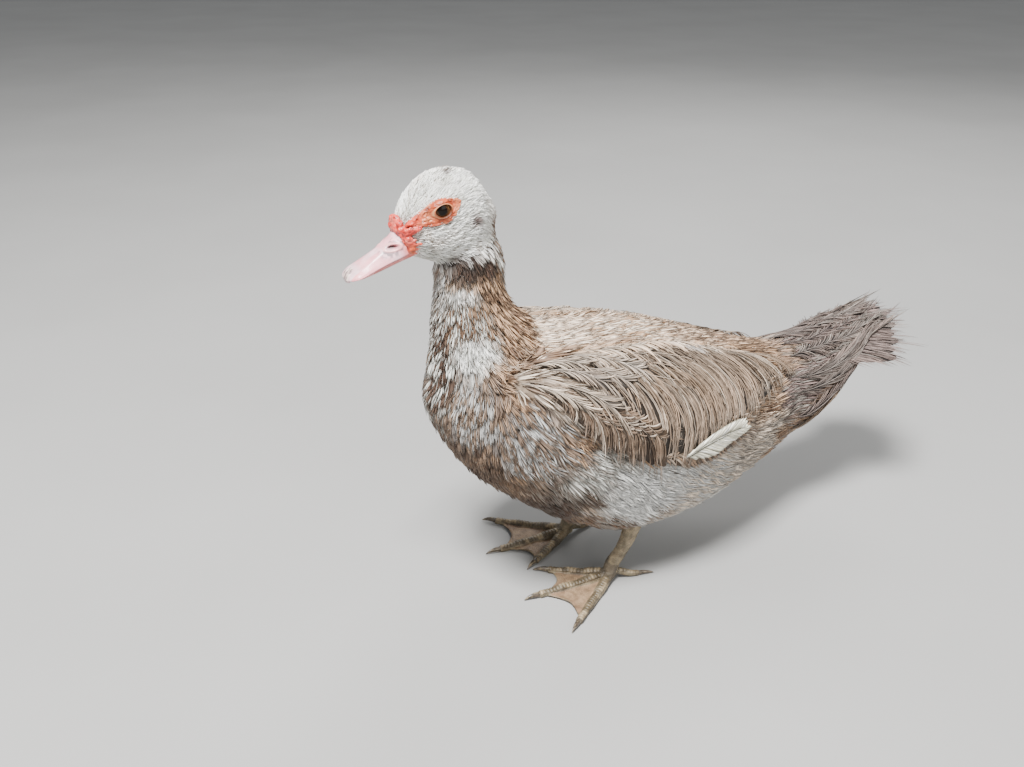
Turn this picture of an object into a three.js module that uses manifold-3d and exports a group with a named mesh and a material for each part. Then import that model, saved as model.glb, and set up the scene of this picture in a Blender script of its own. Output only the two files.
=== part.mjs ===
// A muscovy duck hen standing with her head up, life size, as faceted solids in millimetres.
// She faces -Y, her left side is +X, and +Z is up. Her feet rest on the plane Z = 0.
import * as THREE from "three";
import { mergeVertices } from "three/addons/utils/BufferGeometryUtils.js";
import Module from "manifold-3d";

const wasm = await Module();
wasm.setup();

// Driving dimensions

const GAP = 0.3; // between pieces that touch
const DEGREE = Math.PI / 180;

// Each row of a body form is [y, top, bottom, half width], from the front to the back.
const TORSO_ROWS = [
  [-142, 210, 140, 44],
  [-122, 221, 118, 58],
  [-95, 224, 97, 68],
  [-60, 221, 70, 75],
  [-20, 215, 46, 79],
  [20, 209, 33, 79],
  [60, 200, 33, 75],
  [100, 188, 40, 66],
  [145, 174, 52, 53],
  [190, 163, 70, 40],
  [216, 160, 88, 33],
];
const TORSO_NOSE = 46; // the length over which the breast rounds off
const TORSO_STERN = 16;
const TAIL_CUT_Y = 196; // where the tail starts

const HEAD_ROWS = [
  [-83, 321, 297, 12],
  [-92, 332, 286, 17],
  [-106, 342.5, 279, 21.3],
  [-122, 346, 279, 22.5],
  [-136, 343, 283, 20],
  [-149, 333, 288, 15.5],
  [-160, 317, 293, 11],
];
const HEAD_BACK = 24;
const HEAD_FRONT = 9;

// Each neck station is [y, z, half width, half depth].
const NECK_STATIONS = [
  [-84, 176, 46, 46],
  [-94, 205, 41, 44],
  [-101, 226, 33, 35],
  [-105, 243, 27, 28.5],
  [-106, 260, 24, 25],
  [-106, 278, 23, 24.5],
  [-108, 300, 20, 23],
];
const NECK_SPLIT_Z = 246;
const HEAD_SPLIT_Z = 287;

const BILL = {
  base: [-148, 295],
  tip: [-194, 279.5],
  baseWidth: 23,
  waistWidth: 22,
  spoonWidth: 25,
  baseHeight: 16,
  lowerDepth: 5.2,
};
const NOSTRIL = { along: 0.3, rise: 8.4, side: 8.4, length: 8.5, height: 3.4 };

const EYE = { y: -131.2, z: 322.3, x: 14.6, radius: 7.4 };
// The lids' rim is a band on the eye's ball, between two ovals of these half lengths and half heights.
const LIDS = { opening: [5.3, 4.2], outer: [6.9, 5.8], thickness: 1.1, slant: 12 };

const TAIL = {
  root: [0, 190, 150],
  pitch: 9,
  spread: 27,
  feathers: 9,
  length: 126,
  width: 35,
  droop: 16,
};

const LEG = { footJointZ: 11, shankRadius: 6.2, hockY: 16 };
// Each foot is where its toes meet, where its hock is, and how far it turns out, in degrees.
const FEET = {
  left: { x: 41, y: 0, hockX: 47, turn: -4, sign: 1 },
  right: { x: -31, y: 0, hockX: -43, turn: 3, sign: -1 },
};
// Each front toe is [length without its claw, angle out from the middle toe].
const FRONT_TOES = [
  [52, -32],
  [65, 0],
  [66, 40],
];
const TOE_RADIUS = 4.6;
const HIND_TOE = { length: 22, angle: 168, radius: 3.2 };
const CLAW = { length: 13, radius: 2.5 };

// Plumage and skin colours

const COLOURS = {
  breast: 0x8c7a6a,
  neck: 0xa08a76,
  head: 0xe4e2da,
  wing: 0xb39a80,
  tail: 0x8d7d7a,
  face: 0xd8663f,
  caruncle: 0xd9534b,
  bill: 0xe9b7b4,
  eye: 0x2b1a12,
  leg: 0x9a875c,
  claw: 0x5d5344,
};

function finish(colour, roughness) {
  return new THREE.MeshStandardMaterial({ color: colour, roughness, metalness: 0 });
}

// A repeatable source of numbers from 0 to 1.
function randomFrom(seed) {
  let state = seed;
  return () => {
    state = (state + 0x6d2b79f5) | 0;
    let t = Math.imul(state ^ (state >>> 15), 1 | state);
    t = (t + Math.imul(t ^ (t >>> 7), 61 | t)) ^ t;
    return ((t ^ (t >>> 14)) >>> 0) / 4294967296;
  };
}

function mix(a, b, t) {
  return a + (b - a) * t;
}

// A smooth curve through rising (x, value) pairs, which never overshoots them.
function smoothCurve(xs, values) {
  const n = xs.length;
  const slopes = [];
  for (let i = 0; i < n - 1; i++) slopes.push((values[i + 1] - values[i]) / (xs[i + 1] - xs[i]));
  const tangents = values.map((_, i) => {
    if (i === 0) return slopes[0];
    if (i === n - 1) return slopes[n - 2];
    if (slopes[i - 1] * slopes[i] <= 0) return 0;
    return (2 * slopes[i - 1] * slopes[i]) / (slopes[i - 1] + slopes[i]);
  });
  return (x) => {
    let i = 0;
    while (i < n - 2 && x > xs[i + 1]) i++;
    const h = xs[i + 1] - xs[i];
    const t = Math.min(1, Math.max(0, (x - xs[i]) / h));
    const t2 = t * t;
    const t3 = t2 * t;
    return (
      values[i] * (2 * t3 - 3 * t2 + 1) +
      tangents[i] * h * (t3 - 2 * t2 + t) +
      values[i + 1] * (3 * t2 - 2 * t3) +
      tangents[i + 1] * h * (t3 - t2)
    );
  };
}

function signedPower(value, power) {
  return Math.sign(value) * Math.abs(value) ** power;
}

// Closed meshes

// A closed mesh from rings of points and the two end points that close it.
function meshFromRings(rings, firstPole, lastPole) {
  const around = rings[0].length;
  const points = [firstPole, ...rings.flat(), lastPole];
  const index = [];
  const at = (ring, k) => 1 + ring * around + (k % around);
  for (let k = 0; k < around; k++) {
    index.push(0, at(0, k + 1), at(0, k));
    index.push(points.length - 1, at(rings.length - 1, k), at(rings.length - 1, k + 1));
  }
  for (let r = 0; r < rings.length - 1; r++)
    for (let k = 0; k < around; k++) {
      index.push(at(r, k), at(r, k + 1), at(r + 1, k + 1));
      index.push(at(r, k), at(r + 1, k + 1), at(r + 1, k));
    }
  return solidFrom(points, index);
}

// A thin slab over a grid of points: top and bottom are split into the same triangles.
function slab(top, bottom) {
  const rows = top.length;
  const columns = top[0].length;
  const points = [...top.flat(), ...bottom.flat()];
  const under = rows * columns;
  const at = (r, c) => r * columns + c;
  const index = [];
  const face = (a, b, c) => {
    index.push(a, b, c, under + a, under + c, under + b);
  };
  for (let r = 0; r < rows - 1; r++)
    for (let c = 0; c < columns - 1; c++) {
      face(at(r, c), at(r, c + 1), at(r + 1, c + 1));
      face(at(r, c), at(r + 1, c + 1), at(r + 1, c));
    }
  const rim = [];
  for (let c = 0; c < columns - 1; c++) rim.push(at(0, c));
  for (let r = 0; r < rows - 1; r++) rim.push(at(r, columns - 1));
  for (let c = columns - 1; c > 0; c--) rim.push(at(rows - 1, c));
  for (let r = rows - 1; r > 0; r--) rim.push(at(r, 0));
  rim.forEach((a, i) => {
    const b = rim[(i + 1) % rim.length];
    index.push(a, under + a, under + b, a, under + b, b);
  });
  return solidFrom(points, index);
}

function solidFrom(points, index) {
  const positions = new Float32Array(points.flatMap((p) => [p.x, p.y, p.z]));
  const made = new wasm.Manifold(
    new wasm.Mesh({ numProp: 3, vertProperties: positions, triVerts: new Uint32Array(index) }),
  );
  if (made.volume() > 0) return made;
  const turned = index.slice();
  for (let i = 0; i < turned.length; i += 3) [turned[i + 1], turned[i + 2]] = [index[i + 2], index[i + 1]];
  return new wasm.Manifold(
    new wasm.Mesh({ numProp: 3, vertProperties: positions, triVerts: new Uint32Array(turned) }),
  );
}

// A three.js geometry, such as a sphere, as a solid.
function solidOf(geometry) {
  const bare = geometry.clone();
  bare.deleteAttribute("normal");
  bare.deleteAttribute("uv");
  const merged = mergeVertices(bare, 1e-4);
  return new wasm.Manifold(
    new wasm.Mesh({
      numProp: 3,
      vertProperties: merged.attributes.position.array,
      triVerts: new Uint32Array(merged.index.array),
    }),
  );
}

function joined(solids) {
  return wasm.Manifold.union(solids);
}

function largest(solid) {
  return solid.decompose().reduce((best, one) => (one.volume() > best.volume() ? one : best));
}

function above(solid, z) {
  return solid.trimByPlane([0, 0, 1], z);
}

function below(solid, z) {
  return solid.trimByPlane([0, 0, -1], -z);
}

// A body form is a smooth shell along Y, from rows of top, bottom and half width.
function bodyForm(rows, frontRound, backRound, squareness) {
  const sorted = [...rows].sort((a, b) => a[0] - b[0]);
  const ys = sorted.map((row) => row[0]);
  const [top, bottom, half] = [1, 2, 3].map((k) =>
    smoothCurve(
      ys,
      sorted.map((row) => row[k]),
    ),
  );
  const first = ys[0];
  const last = ys[ys.length - 1];
  const rounding = (distance, over) =>
    distance >= over ? 1 : Math.sqrt(Math.max(0, 1 - (1 - distance / over) ** 2));
  const power = 2 / squareness;
  // angle 0 is the bird's left side and 90 degrees is her back
  const point = (y, angle, grow = 0) => {
    const closing = rounding(y - first, frontRound) * rounding(last - y, backRound);
    const middle = (top(y) + bottom(y)) / 2;
    const halfHeight = ((top(y) - bottom(y)) / 2) * closing + grow;
    const halfWidth = half(y) * closing + grow;
    return new THREE.Vector3(
      halfWidth * signedPower(Math.cos(angle), power),
      y,
      middle + halfHeight * signedPower(Math.sin(angle), power),
    );
  };
  const solid = (ringCount, around, grow = 0) => {
    const rings = [];
    for (let i = 1; i < ringCount; i++) {
      const share = (1 - Math.cos((Math.PI * i) / ringCount)) / 2;
      const shift = mix(-grow, grow, share);
      const ring = [];
      for (let k = 0; k < around; k++) {
        const at = point(mix(first, last, share), (2 * Math.PI * k) / around, grow);
        ring.push(at.setY(at.y + shift));
      }
      rings.push(ring);
    }
    const pole = (y, shift) => point(y, 0, 0).setX(0).setY(y + shift);
    return meshFromRings(rings, pole(first, -grow), pole(last, grow));
  };
  return { point, solid, first, last };
}

// A tube through stations of {at, side, up, down}: half width, and how far it reaches above and below its line.
function tubeForm(stations, around, { steps = 4, grow = 0, squareness = 2, across = null } = {}) {
  const curve = new THREE.CatmullRomCurve3(stations.map((s) => s.at));
  const n = stations.length - 1;
  const sizes = ["side", "up", "down"].map((key) =>
    smoothCurve(
      stations.map((_, i) => i / n),
      stations.map((s) => s[key]),
    ),
  );
  const power = 2 / squareness;
  const rings = [];
  for (let i = 0; i <= n * steps; i++) {
    const t = i / (n * steps);
    const at = curve.getPoint(t);
    const along = curve.getTangent(t);
    const sideways = (across ?? new THREE.Vector3(1, 0, 0)).clone();
    sideways.addScaledVector(along, -sideways.dot(along)).normalize();
    const upward = new THREE.Vector3().crossVectors(along, sideways).normalize();
    const [side, up, down] = sizes.map((size) => size(t) + grow);
    const ring = [];
    for (let k = 0; k < around; k++) {
      const angle = (2 * Math.PI * k) / around;
      const rise = signedPower(Math.sin(angle), power);
      ring.push(
        at
          .clone()
          .addScaledVector(along, i === 0 ? -grow : i === n * steps ? grow : 0)
          .addScaledVector(sideways, side * signedPower(Math.cos(angle), power))
          .addScaledVector(upward, rise * (rise > 0 ? up : down)),
      );
    }
    rings.push(ring);
  }
  const start = curve.getPoint(0).addScaledVector(curve.getTangent(0), -grow);
  const end = curve.getPoint(1).addScaledVector(curve.getTangent(1), grow);
  return meshFromRings(rings, start, end);
}

// Body

const torsoForm = bodyForm(TORSO_ROWS, TORSO_NOSE, TORSO_STERN, 2.25);
const TORSO_RINGS = 22;
const TORSO_AROUND = 28;
const torsoWhole = torsoForm.solid(TORSO_RINGS, TORSO_AROUND);
const torsoGrown = torsoForm.solid(TORSO_RINGS, TORSO_AROUND, GAP);

const neckStations = NECK_STATIONS.map(([y, z, side, depth]) => ({
  at: new THREE.Vector3(0, y, z),
  side,
  up: depth,
  down: depth,
}));
const neckWhole = tubeForm(neckStations, 24, { steps: 2 });

const HEAD_SQUARENESS = 2.15;
const headForm = bodyForm(HEAD_ROWS, HEAD_FRONT, HEAD_BACK, HEAD_SQUARENESS);
const headWhole = headForm.solid(15, 24);
const headGrown = headForm.solid(15, 24, GAP);

// Bill

function billPoint(along, rise = 0) {
  const [y0, z0] = BILL.base;
  const [y1, z1] = BILL.tip;
  const direction = new THREE.Vector3(0, y1 - y0, z1 - z0);
  const up = new THREE.Vector3(0, z1 - z0, y0 - y1).normalize();
  return new THREE.Vector3(0, y0, z0).addScaledVector(direction, along).addScaledVector(up, rise);
}

function upperBillSolid(grow = 0) {
  const station = (along, width, up, rise = 0) => ({
    at: billPoint(along, rise),
    side: width / 2,
    up,
    down: 1.2,
  });
  const shell = tubeForm(
    [
      station(-0.08, BILL.baseWidth, BILL.baseHeight),
      station(0.06, BILL.baseWidth, BILL.baseHeight * 0.98),
      station(0.18, BILL.baseWidth, BILL.baseHeight * 0.9),
      station(0.38, BILL.waistWidth, BILL.baseHeight * 0.71),
      station(0.56, BILL.waistWidth * 1.02, BILL.baseHeight * 0.56),
      station(0.7, BILL.spoonWidth * 0.98, BILL.baseHeight * 0.42),
      station(0.85, BILL.spoonWidth, BILL.baseHeight * 0.27),
      station(0.95, BILL.spoonWidth * 0.8, BILL.baseHeight * 0.16),
      station(1, BILL.spoonWidth * 0.5, BILL.baseHeight * 0.08, -0.4),
    ],
    16,
    { steps: 1, squareness: 2.3, grow },
  );
  if (grow) return shell;
  const nail = tubeForm(
    [
      { at: billPoint(0.86, 2.6), side: 4.4, up: 1.6, down: 1 },
      { at: billPoint(0.96, 1.4), side: 5, up: 1.7, down: 1.6 },
      { at: billPoint(1.02, -0.8), side: 3.6, up: 1.2, down: 1.6 },
    ],
    8,
    { steps: 1 },
  );
  let bill = joined([shell, nail]);
  for (const sign of [-1, 1]) {
    const hole = new THREE.SphereGeometry(1, 9, 6);
    hole.scale(2.6, NOSTRIL.length / 2, NOSTRIL.height / 2);
    hole.rotateX(Math.atan2(BILL.base[1] - BILL.tip[1], BILL.base[0] - BILL.tip[0]));
    const centre = billPoint(NOSTRIL.along, NOSTRIL.rise);
    hole.translate(sign * NOSTRIL.side, centre.y, centre.z);
    bill = bill.subtract(solidOf(hole));
  }
  return largest(bill);
}

function lowerBillSolid(grow = 0) {
  const station = (along, width, down) => ({
    at: billPoint(along, -1.2 - GAP),
    side: width / 2,
    up: 1.0,
    down,
  });
  const shell = tubeForm(
    [
      station(-0.1, BILL.baseWidth * 0.8, BILL.lowerDepth),
      station(0.25, BILL.waistWidth * 0.84, BILL.lowerDepth * 0.85),
      station(0.6, BILL.waistWidth * 0.86, BILL.lowerDepth * 0.8),
      station(0.82, BILL.spoonWidth * 0.76, BILL.lowerDepth * 0.6),
      station(0.94, BILL.spoonWidth * 0.4, 1.4),
    ],
    14,
    { steps: 1, grow },
  );
  return grow ? shell : largest(shell.subtract(upperBillSolid(GAP)));
}

// The side of the head at a height and a place along it, found from the head's form.
function cheekX(y, z) {
  let low = 0;
  let high = Math.PI / 2;
  const level = headForm.point(y, 0).z;
  const sign = z >= level ? 1 : -1;
  for (let i = 0; i < 24; i++) {
    const middle = (low + high) / 2;
    if ((headForm.point(y, sign * middle).z - z) * sign < 0) low = middle;
    else high = middle;
  }
  return headForm.point(y, sign * low).x;
}

// Bare skin round the eye: a raised almond that runs forward and down to the bill, with small bulbs.
const FACE = { turns: 16, shares: [0.55, 0.82, 1], forward: 23, back: 15, above: 8.2, below: 9.4, slant: 21 };

function facePoint(share, angle, lift) {
  const along = Math.cos(angle);
  const rise = Math.sin(angle);
  const reachAlong = (along > 0 ? FACE.forward : FACE.back) * along * Math.abs(along) ** 0.15;
  const narrowing = 1 - 0.45 * Math.abs(along) ** 2.5;
  const reachUp = (rise > 0 ? FACE.above : FACE.below) * rise * narrowing;
  const slant = FACE.slant * DEGREE;
  const forward = share * (reachAlong * Math.cos(slant) + reachUp * Math.sin(slant));
  const up = share * (reachUp * Math.cos(slant) - reachAlong * Math.sin(slant));
  const y = Math.max(EYE.y - forward, headForm.first + 3);
  const z = EYE.z + up;
  return new THREE.Vector3(cheekX(y, z) + lift, y, z);
}

function faceSkinSolid() {
  const ringAt = (share, lift, bulge) => {
    const ring = [];
    for (let k = 0; k < FACE.turns; k++)
      ring.push(facePoint(share, (2 * Math.PI * k) / FACE.turns, lift + (k % 2 ? bulge : -bulge)));
    return ring;
  };
  const outer = FACE.shares.map((share) => ringAt(share, share < 1 ? 1.9 : 1.3, 0.3 * share));
  const inner = [1, 0.82, 0.55].map((share) => ringAt(share, 1.1 * GAP, 0));
  return meshFromRings([...outer, ...inner], facePoint(0, 0, 1.9), facePoint(0, 0, 1.1 * GAP));
}

// The lids' rim, a closed band that lies on the ball of the eye with the gap between them.
function lidSolid() {
  const around = 14;
  const slant = LIDS.slant * DEGREE;
  const near = EYE.radius + GAP;
  const far = near + LIDS.thickness;
  const point = (angle, oval, distance) => {
    const a = oval[0] * Math.cos(angle);
    const b = oval[1] * Math.sin(angle);
    const y = -a * Math.cos(slant) - b * Math.sin(slant);
    const z = b * Math.cos(slant) - a * Math.sin(slant);
    const x = Math.sqrt(Math.max(0, EYE.radius ** 2 - y * y - z * z));
    const out = new THREE.Vector3(x, y, z).normalize().multiplyScalar(distance);
    return out.add(new THREE.Vector3(EYE.x, EYE.y, EYE.z));
  };
  const { opening, outer } = LIDS;
  const middle = opening.map((size, i) => (size + outer[i]) / 2);
  const sections = [];
  for (let k = 0; k < around; k++) {
    const angle = (2 * Math.PI * k) / around;
    sections.push([
      point(angle, opening, near),
      point(angle, opening, mix(near, far, 0.75)),
      point(angle, middle, far),
      point(angle, outer, mix(near, far, 0.6)),
      point(angle, outer, near),
    ]);
  }
  return loopFromSections(sections);
}

// A closed loop from sections of points, each joined to the next and the last to the first.
function loopFromSections(sections) {
  const around = sections.length;
  const size = sections[0].length;
  const index = [];
  const at = (k, j) => (k % around) * size + (j % size);
  for (let k = 0; k < around; k++)
    for (let j = 0; j < size; j++) {
      index.push(at(k, j), at(k + 1, j), at(k + 1, j + 1));
      index.push(at(k, j), at(k + 1, j + 1), at(k, j + 1));
    }
  return solidFrom(sections.flat(), index);
}

// How far forward the head's surface lies at a place on its face.
function faceFrontY(x, z) {
  let low = headForm.first;
  let high = EYE.y;
  const power = HEAD_SQUARENESS;
  for (let i = 0; i < 24; i++) {
    const y = (low + high) / 2;
    const middle = headForm.point(y, 0);
    const top = headForm.point(y, 90 * DEGREE);
    const inside = Math.abs(x / middle.x) ** power + Math.abs((z - middle.z) / (top.z - middle.z)) ** power < 1;
    if (inside) high = y;
    else low = y;
  }
  return high;
}

// The red saddle over the bill's base: a band from corner to corner of the mouth, with two arches of bulbs.
const CARUNCLE = { sweep: 116, width: 12, rise: 9.5, z: 300.5, band: 3.4, sink: 1.6 };
const CARUNCLE_ARCHES = [
  { bulbs: 8, sweep: 112, width: 12, rise: 9.5, z: 300.5, size: 4, sink: 1.5 },
  { bulbs: 4, sweep: 70, width: 12.8, rise: 11.5, z: 302.5, size: 3.6, sink: 1.5 },
];

function archPoint(arch, share) {
  const angle = mix(-arch.sweep, arch.sweep, share) * DEGREE;
  const x = arch.width * Math.sin(angle);
  const z = arch.z + arch.rise * Math.cos(angle);
  return new THREE.Vector3(x, faceFrontY(x, z) + arch.sink, z);
}

function caruncleSolid() {
  const stations = 7;
  const bandStations = [];
  for (let i = 0; i < stations; i++) {
    const size = CARUNCLE.band * (i % 2 ? 1 : 0.85);
    bandStations.push({ at: archPoint(CARUNCLE, i / (stations - 1)), side: size, up: size, down: size });
  }
  const lumps = [tubeForm(bandStations, 5, { steps: 1, across: new THREE.Vector3(0, 1, 0) })];
  for (const arch of CARUNCLE_ARCHES)
    for (let i = 0; i < arch.bulbs; i++) {
      const size = arch.size * (i % 2 ? 1.08 : 0.94);
      const at = archPoint(arch, i / (arch.bulbs - 1));
      const bulb = new THREE.SphereGeometry(size, 6, 3).rotateX(90 * DEGREE).rotateY(0.4 * i);
      lumps.push(solidOf(bulb.translate(at.x, at.y, at.z)));
    }
  return joined(lumps);
}

// Feathers

// A vane from a place function: place(along, across) gives {at, normal}, across from -1 to 1.
function vane(place, thickness, rows, columns = [-1, 0, 1]) {
  const top = [];
  const bottom = [];
  for (let i = 0; i <= rows; i++) {
    const along = i / rows;
    const topRow = [];
    const bottomRow = [];
    for (const across of columns) {
      const { at, normal } = place(along, across);
      const half = thickness / 2;
      topRow.push(at.clone().addScaledVector(normal, half));
      bottomRow.push(at.clone().addScaledVector(normal, -half));
    }
    top.push(topRow);
    bottom.push(bottomRow);
  }
  return slab(top, bottom);
}

// How wide a feather is along its length, as a share, from its root to its rounded tip.
function featherWidth(along) {
  const root = 0.45 + 0.55 * Math.min(1, along / 0.35);
  const tip = along < 0.7 ? 1 : Math.sqrt(Math.max(0.05, 1 - ((along - 0.7) / 0.31) ** 2));
  return root * tip;
}

// How high a feather rides over the surface it grows from: its root is sunk in and its tip stands clear.
function featherRise(along) {
  return -1.1 + 2.1 * Math.min(1, along / 0.4) + 1.4 * along;
}

// The outward normal of a chart, a function of two shares that gives a point round an inner point.
function chartNormal(chart, a, b, stepA, stepB, inside) {
  const alongA = chart(a + stepA, b).sub(chart(a - stepA, b));
  const alongB = chart(a, b + stepB).sub(chart(a, b - stepB));
  const normal = new THREE.Vector3().crossVectors(alongA, alongB).normalize();
  return normal.dot(chart(a, b).sub(inside)) < 0 ? normal.negate() : normal;
}

// The wing's chart: share along the folded wing and share down it, laid over the torso's side.
const WING = {
  frontY: -98,
  backY: 168,
  topAngle: smoothCurve([0, 0.08, 0.25, 0.6, 1], [44, 56, 66, 72, 68]),
  lowAngle: smoothCurve([0, 0.08, 0.2, 0.45, 0.75, 1], [38, 26, 14, 8, 12, 30]),
  core: smoothCurve([0, 0.05, 0.12, 0.28, 0.45, 0.6, 0.72, 1.1], [1, 6, 10.5, 9, 6.6, 4.2, 2.6, 1.6]),
  coreEnd: 0.72,
};

function wingPlace(along, down, lift) {
  const angle = mix(WING.topAngle(along), WING.lowAngle(along), down) * DEGREE;
  return torsoForm.point(mix(WING.frontY, WING.backY, along), angle, lift);
}

function wingNormal(along, down) {
  const inside = wingPlace(along, down, 0).multiply(new THREE.Vector3(0, 1, 0.8));
  return chartNormal((a, b) => wingPlace(a, b, 0), along, down, 0.01, 0.01, inside);
}

// How far the wing's body stands off the torso, thinner towards its upper and lower edges.
function wingLift(along, down) {
  return WING.core(along) * (1 - 0.55 * Math.min(1, Math.abs(2 * down - 1)) ** 5);
}

function wingCore() {
  const alongShares = [0, 0.04, 0.12, 0.24, 0.38, 0.54, WING.coreEnd];
  const downShares = [0, 0.1, 0.36, 0.64, 0.9, 1];
  const layer = (lift) =>
    alongShares.map((along) => downShares.map((down) => wingPlace(along, down, lift(along, down))));
  return slab(
    layer(wingLift),
    layer(() => -3),
  );
}

// Tiers of wing feathers: each row starts under the tips of the one before it.
const WING_TIERS = [
  { count: 3, root: 0.08, tip: 0.29, sag: 0.02, from: 0.22, to: 0.78, rows: 2, columns: [-1, 1] },
  { count: 4, root: 0.21, tip: 0.46, sag: 0.04, from: 0.12, to: 0.88, rows: 3, columns: [-1, 1] },
  { count: 4, root: 0.37, tip: 0.68, sag: 0.05, from: 0.1, to: 0.88, rows: 3 },
  { count: 5, root: 0.56, tip: 1, sag: 0.03, from: 0.1, to: 0.84, rows: 3, taper: 0.16 },
];
const VANE_THICKNESS = 0.55;
const VANE_TILT = 0.6; // how far a vane's lower edge stands out over its neighbour

function wingVane(tier, i, random) {
  const share = i / (tier.count - 1);
  const start = mix(tier.from, tier.to, share);
  const tipAlong = tier.tip - (tier.taper ?? 0) * share + 0.02 * (random() - 0.5);
  const halfWidth = ((tier.to - tier.from) / (tier.count - 1)) * 0.72;
  const place = (t, across) => {
    const along = mix(tier.root, tipAlong, t);
    const down = Math.min(1.12, Math.max(-0.1, start + tier.sag * t * t + across * halfWidth * featherWidth(t)));
    const tilt = VANE_TILT * across * Math.min(1, 3 * t);
    const at = wingPlace(along, down, wingLift(along, down) + featherRise(t) + tilt);
    return { at, normal: wingNormal(along, down) };
  };
  return vane(place, VANE_THICKNESS, tier.rows, tier.columns);
}

// The primaries, fanned under the other flight feathers along the wing's lower edge.
const PRIMARIES = { count: 3, root: [0.42, 0.9], tip: [1.06, 0.62], lowTip: [0.76, 1.06], width: 0.12, lift: 1.3 };

function primaryVane(i) {
  const share = i / (PRIMARIES.count - 1);
  const tip = PRIMARIES.tip.map((value, k) => mix(value, PRIMARIES.lowTip[k], share));
  const place = (t, across) => {
    const along = mix(PRIMARIES.root[0], tip[0], t);
    const down = mix(PRIMARIES.root[1], tip[1], t ** 1.3) + across * PRIMARIES.width * featherWidth(t);
    const lift = PRIMARIES.lift + 0.25 * across * Math.min(1, t * 3) + (1 - share) * 0.9 * t;
    return { at: wingPlace(along, down, lift), normal: wingNormal(along, down) };
  };
  return vane(place, VANE_THICKNESS, 4);
}

function wingSolid(seed) {
  const random = randomFrom(seed);
  const pieces = [wingCore()];
  for (const tier of WING_TIERS) for (let i = 0; i < tier.count; i++) pieces.push(wingVane(tier, i, random));
  for (let i = 0; i < PRIMARIES.count; i++) pieces.push(primaryVane(i));
  return largest(joined(pieces).subtract(torsoGrown));
}

// Tail

function tailPlace(reach, turn, lift) {
  const [, rootY, rootZ] = TAIL.root;
  const angle = turn * DEGREE;
  const pitch = TAIL.pitch * DEGREE;
  const sag = TAIL.droop * (turn / TAIL.spread) ** 2 * (reach / TAIL.length) ** 1.5;
  const up = lift - sag + 6 * (reach / TAIL.length) ** 3;
  const forward = reach * Math.cos(angle);
  return new THREE.Vector3(
    reach * Math.sin(angle),
    rootY + forward * Math.cos(pitch) - up * Math.sin(pitch),
    rootZ + forward * Math.sin(pitch) + up * Math.cos(pitch),
  );
}

function tailFeather(turn, length, lift) {
  const from = 18;
  const normal = new THREE.Vector3(Math.sin(turn * DEGREE) * 0.35, -0.15, 1).normalize();
  const place = (t, across) => {
    const reach = mix(from, length, t);
    const sideways = (across * featherWidth(t) * TAIL.width) / 2;
    return { at: tailPlace(reach, turn + Math.atan2(sideways, reach) / DEGREE, lift), normal };
  };
  return vane(place, VANE_THICKNESS, 4);
}

// The tail's root carries the torso's end section on: [reach, share of its width, share of its depth].
const TAIL_ROOT = [
  [6, 1, 1],
  [22, 0.99, 0.86],
  [42, 0.96, 0.64],
  [62, 0.86, 0.4],
  [80, 0.66, 0.16],
  [104, 0.6, 0.08],
];
const TAIL_ROOT_RINGS = [TAIL_CUT_Y + GAP - TAIL.root[1], 22, 42, 62, 80];
const [tailWide, tailDeep] = [1, 2].map((column) =>
  smoothCurve(
    TAIL_ROOT.map((row) => row[0]),
    TAIL_ROOT.map((row) => row[column]),
  ),
);

function tailRootPoint(reach, angle, lift = 0) {
  const first = torsoForm.point(TAIL_CUT_Y, 90 * DEGREE, lift).z;
  const from = torsoForm.point(TAIL_CUT_Y, angle * DEGREE);
  const top = mix(first - lift, tailPlace(reach, 0, 0).z + 5, Math.min(1, Math.max(0, (reach - 6) / 40)));
  return new THREE.Vector3(
    from.x * tailWide(reach) + lift * Math.cos(angle * DEGREE),
    TAIL.root[1] + reach,
    top - (first - lift - from.z) * tailDeep(reach) + lift * Math.sin(angle * DEGREE),
  );
}

function tailRootSolid() {
  const around = 16;
  const rings = TAIL_ROOT_RINGS.map((reach) => {
    const ring = [];
    for (let k = 0; k < around; k++) ring.push(tailRootPoint(reach, (360 * k) / around));
    return ring;
  });
  const middle = (ring) =>
    ring.reduce((total, p) => total.add(p), new THREE.Vector3()).multiplyScalar(1 / ring.length);
  return meshFromRings(rings, middle(rings[0]), middle(rings[rings.length - 1]));
}

// Coverts lie over and under the tail's root in two tiers: [first, last] angle round it.
const TAIL_COVERTS = [
  { count: 5, from: 10, to: 56, angles: [20, 160], rows: 2 },
  { count: 3, from: 40, to: 88, angles: [46, 134], rows: 2 },
  { count: 5, from: 10, to: 56, angles: [-20, -160], rows: 2 },
  { count: 3, from: 40, to: 92, angles: [-46, -134], rows: 2 },
];

function tailCovert(tier, i, random) {
  const middle = mix(tier.angles[0], tier.angles[1], i / (tier.count - 1));
  const halfWidth = (Math.abs(tier.angles[1] - tier.angles[0]) / (tier.count - 1)) * 0.72;
  const length = tier.to + 4 * (random() - 0.5);
  const place = (t, across) => {
    const reach = mix(tier.from, length, t);
    const angle = middle + across * halfWidth * featherWidth(t);
    const inside = new THREE.Vector3(0, TAIL.root[1] + reach, tailRootPoint(reach, 0).z);
    const normal = chartNormal(tailRootPoint, reach, angle, 1, 2, inside);
    const lift = featherRise(t) + VANE_TILT * across * Math.min(1, 3 * t);
    return { at: tailRootPoint(reach, angle, lift), normal };
  };
  return vane(place, VANE_THICKNESS, tier.rows, [-1, 1]);
}

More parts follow.
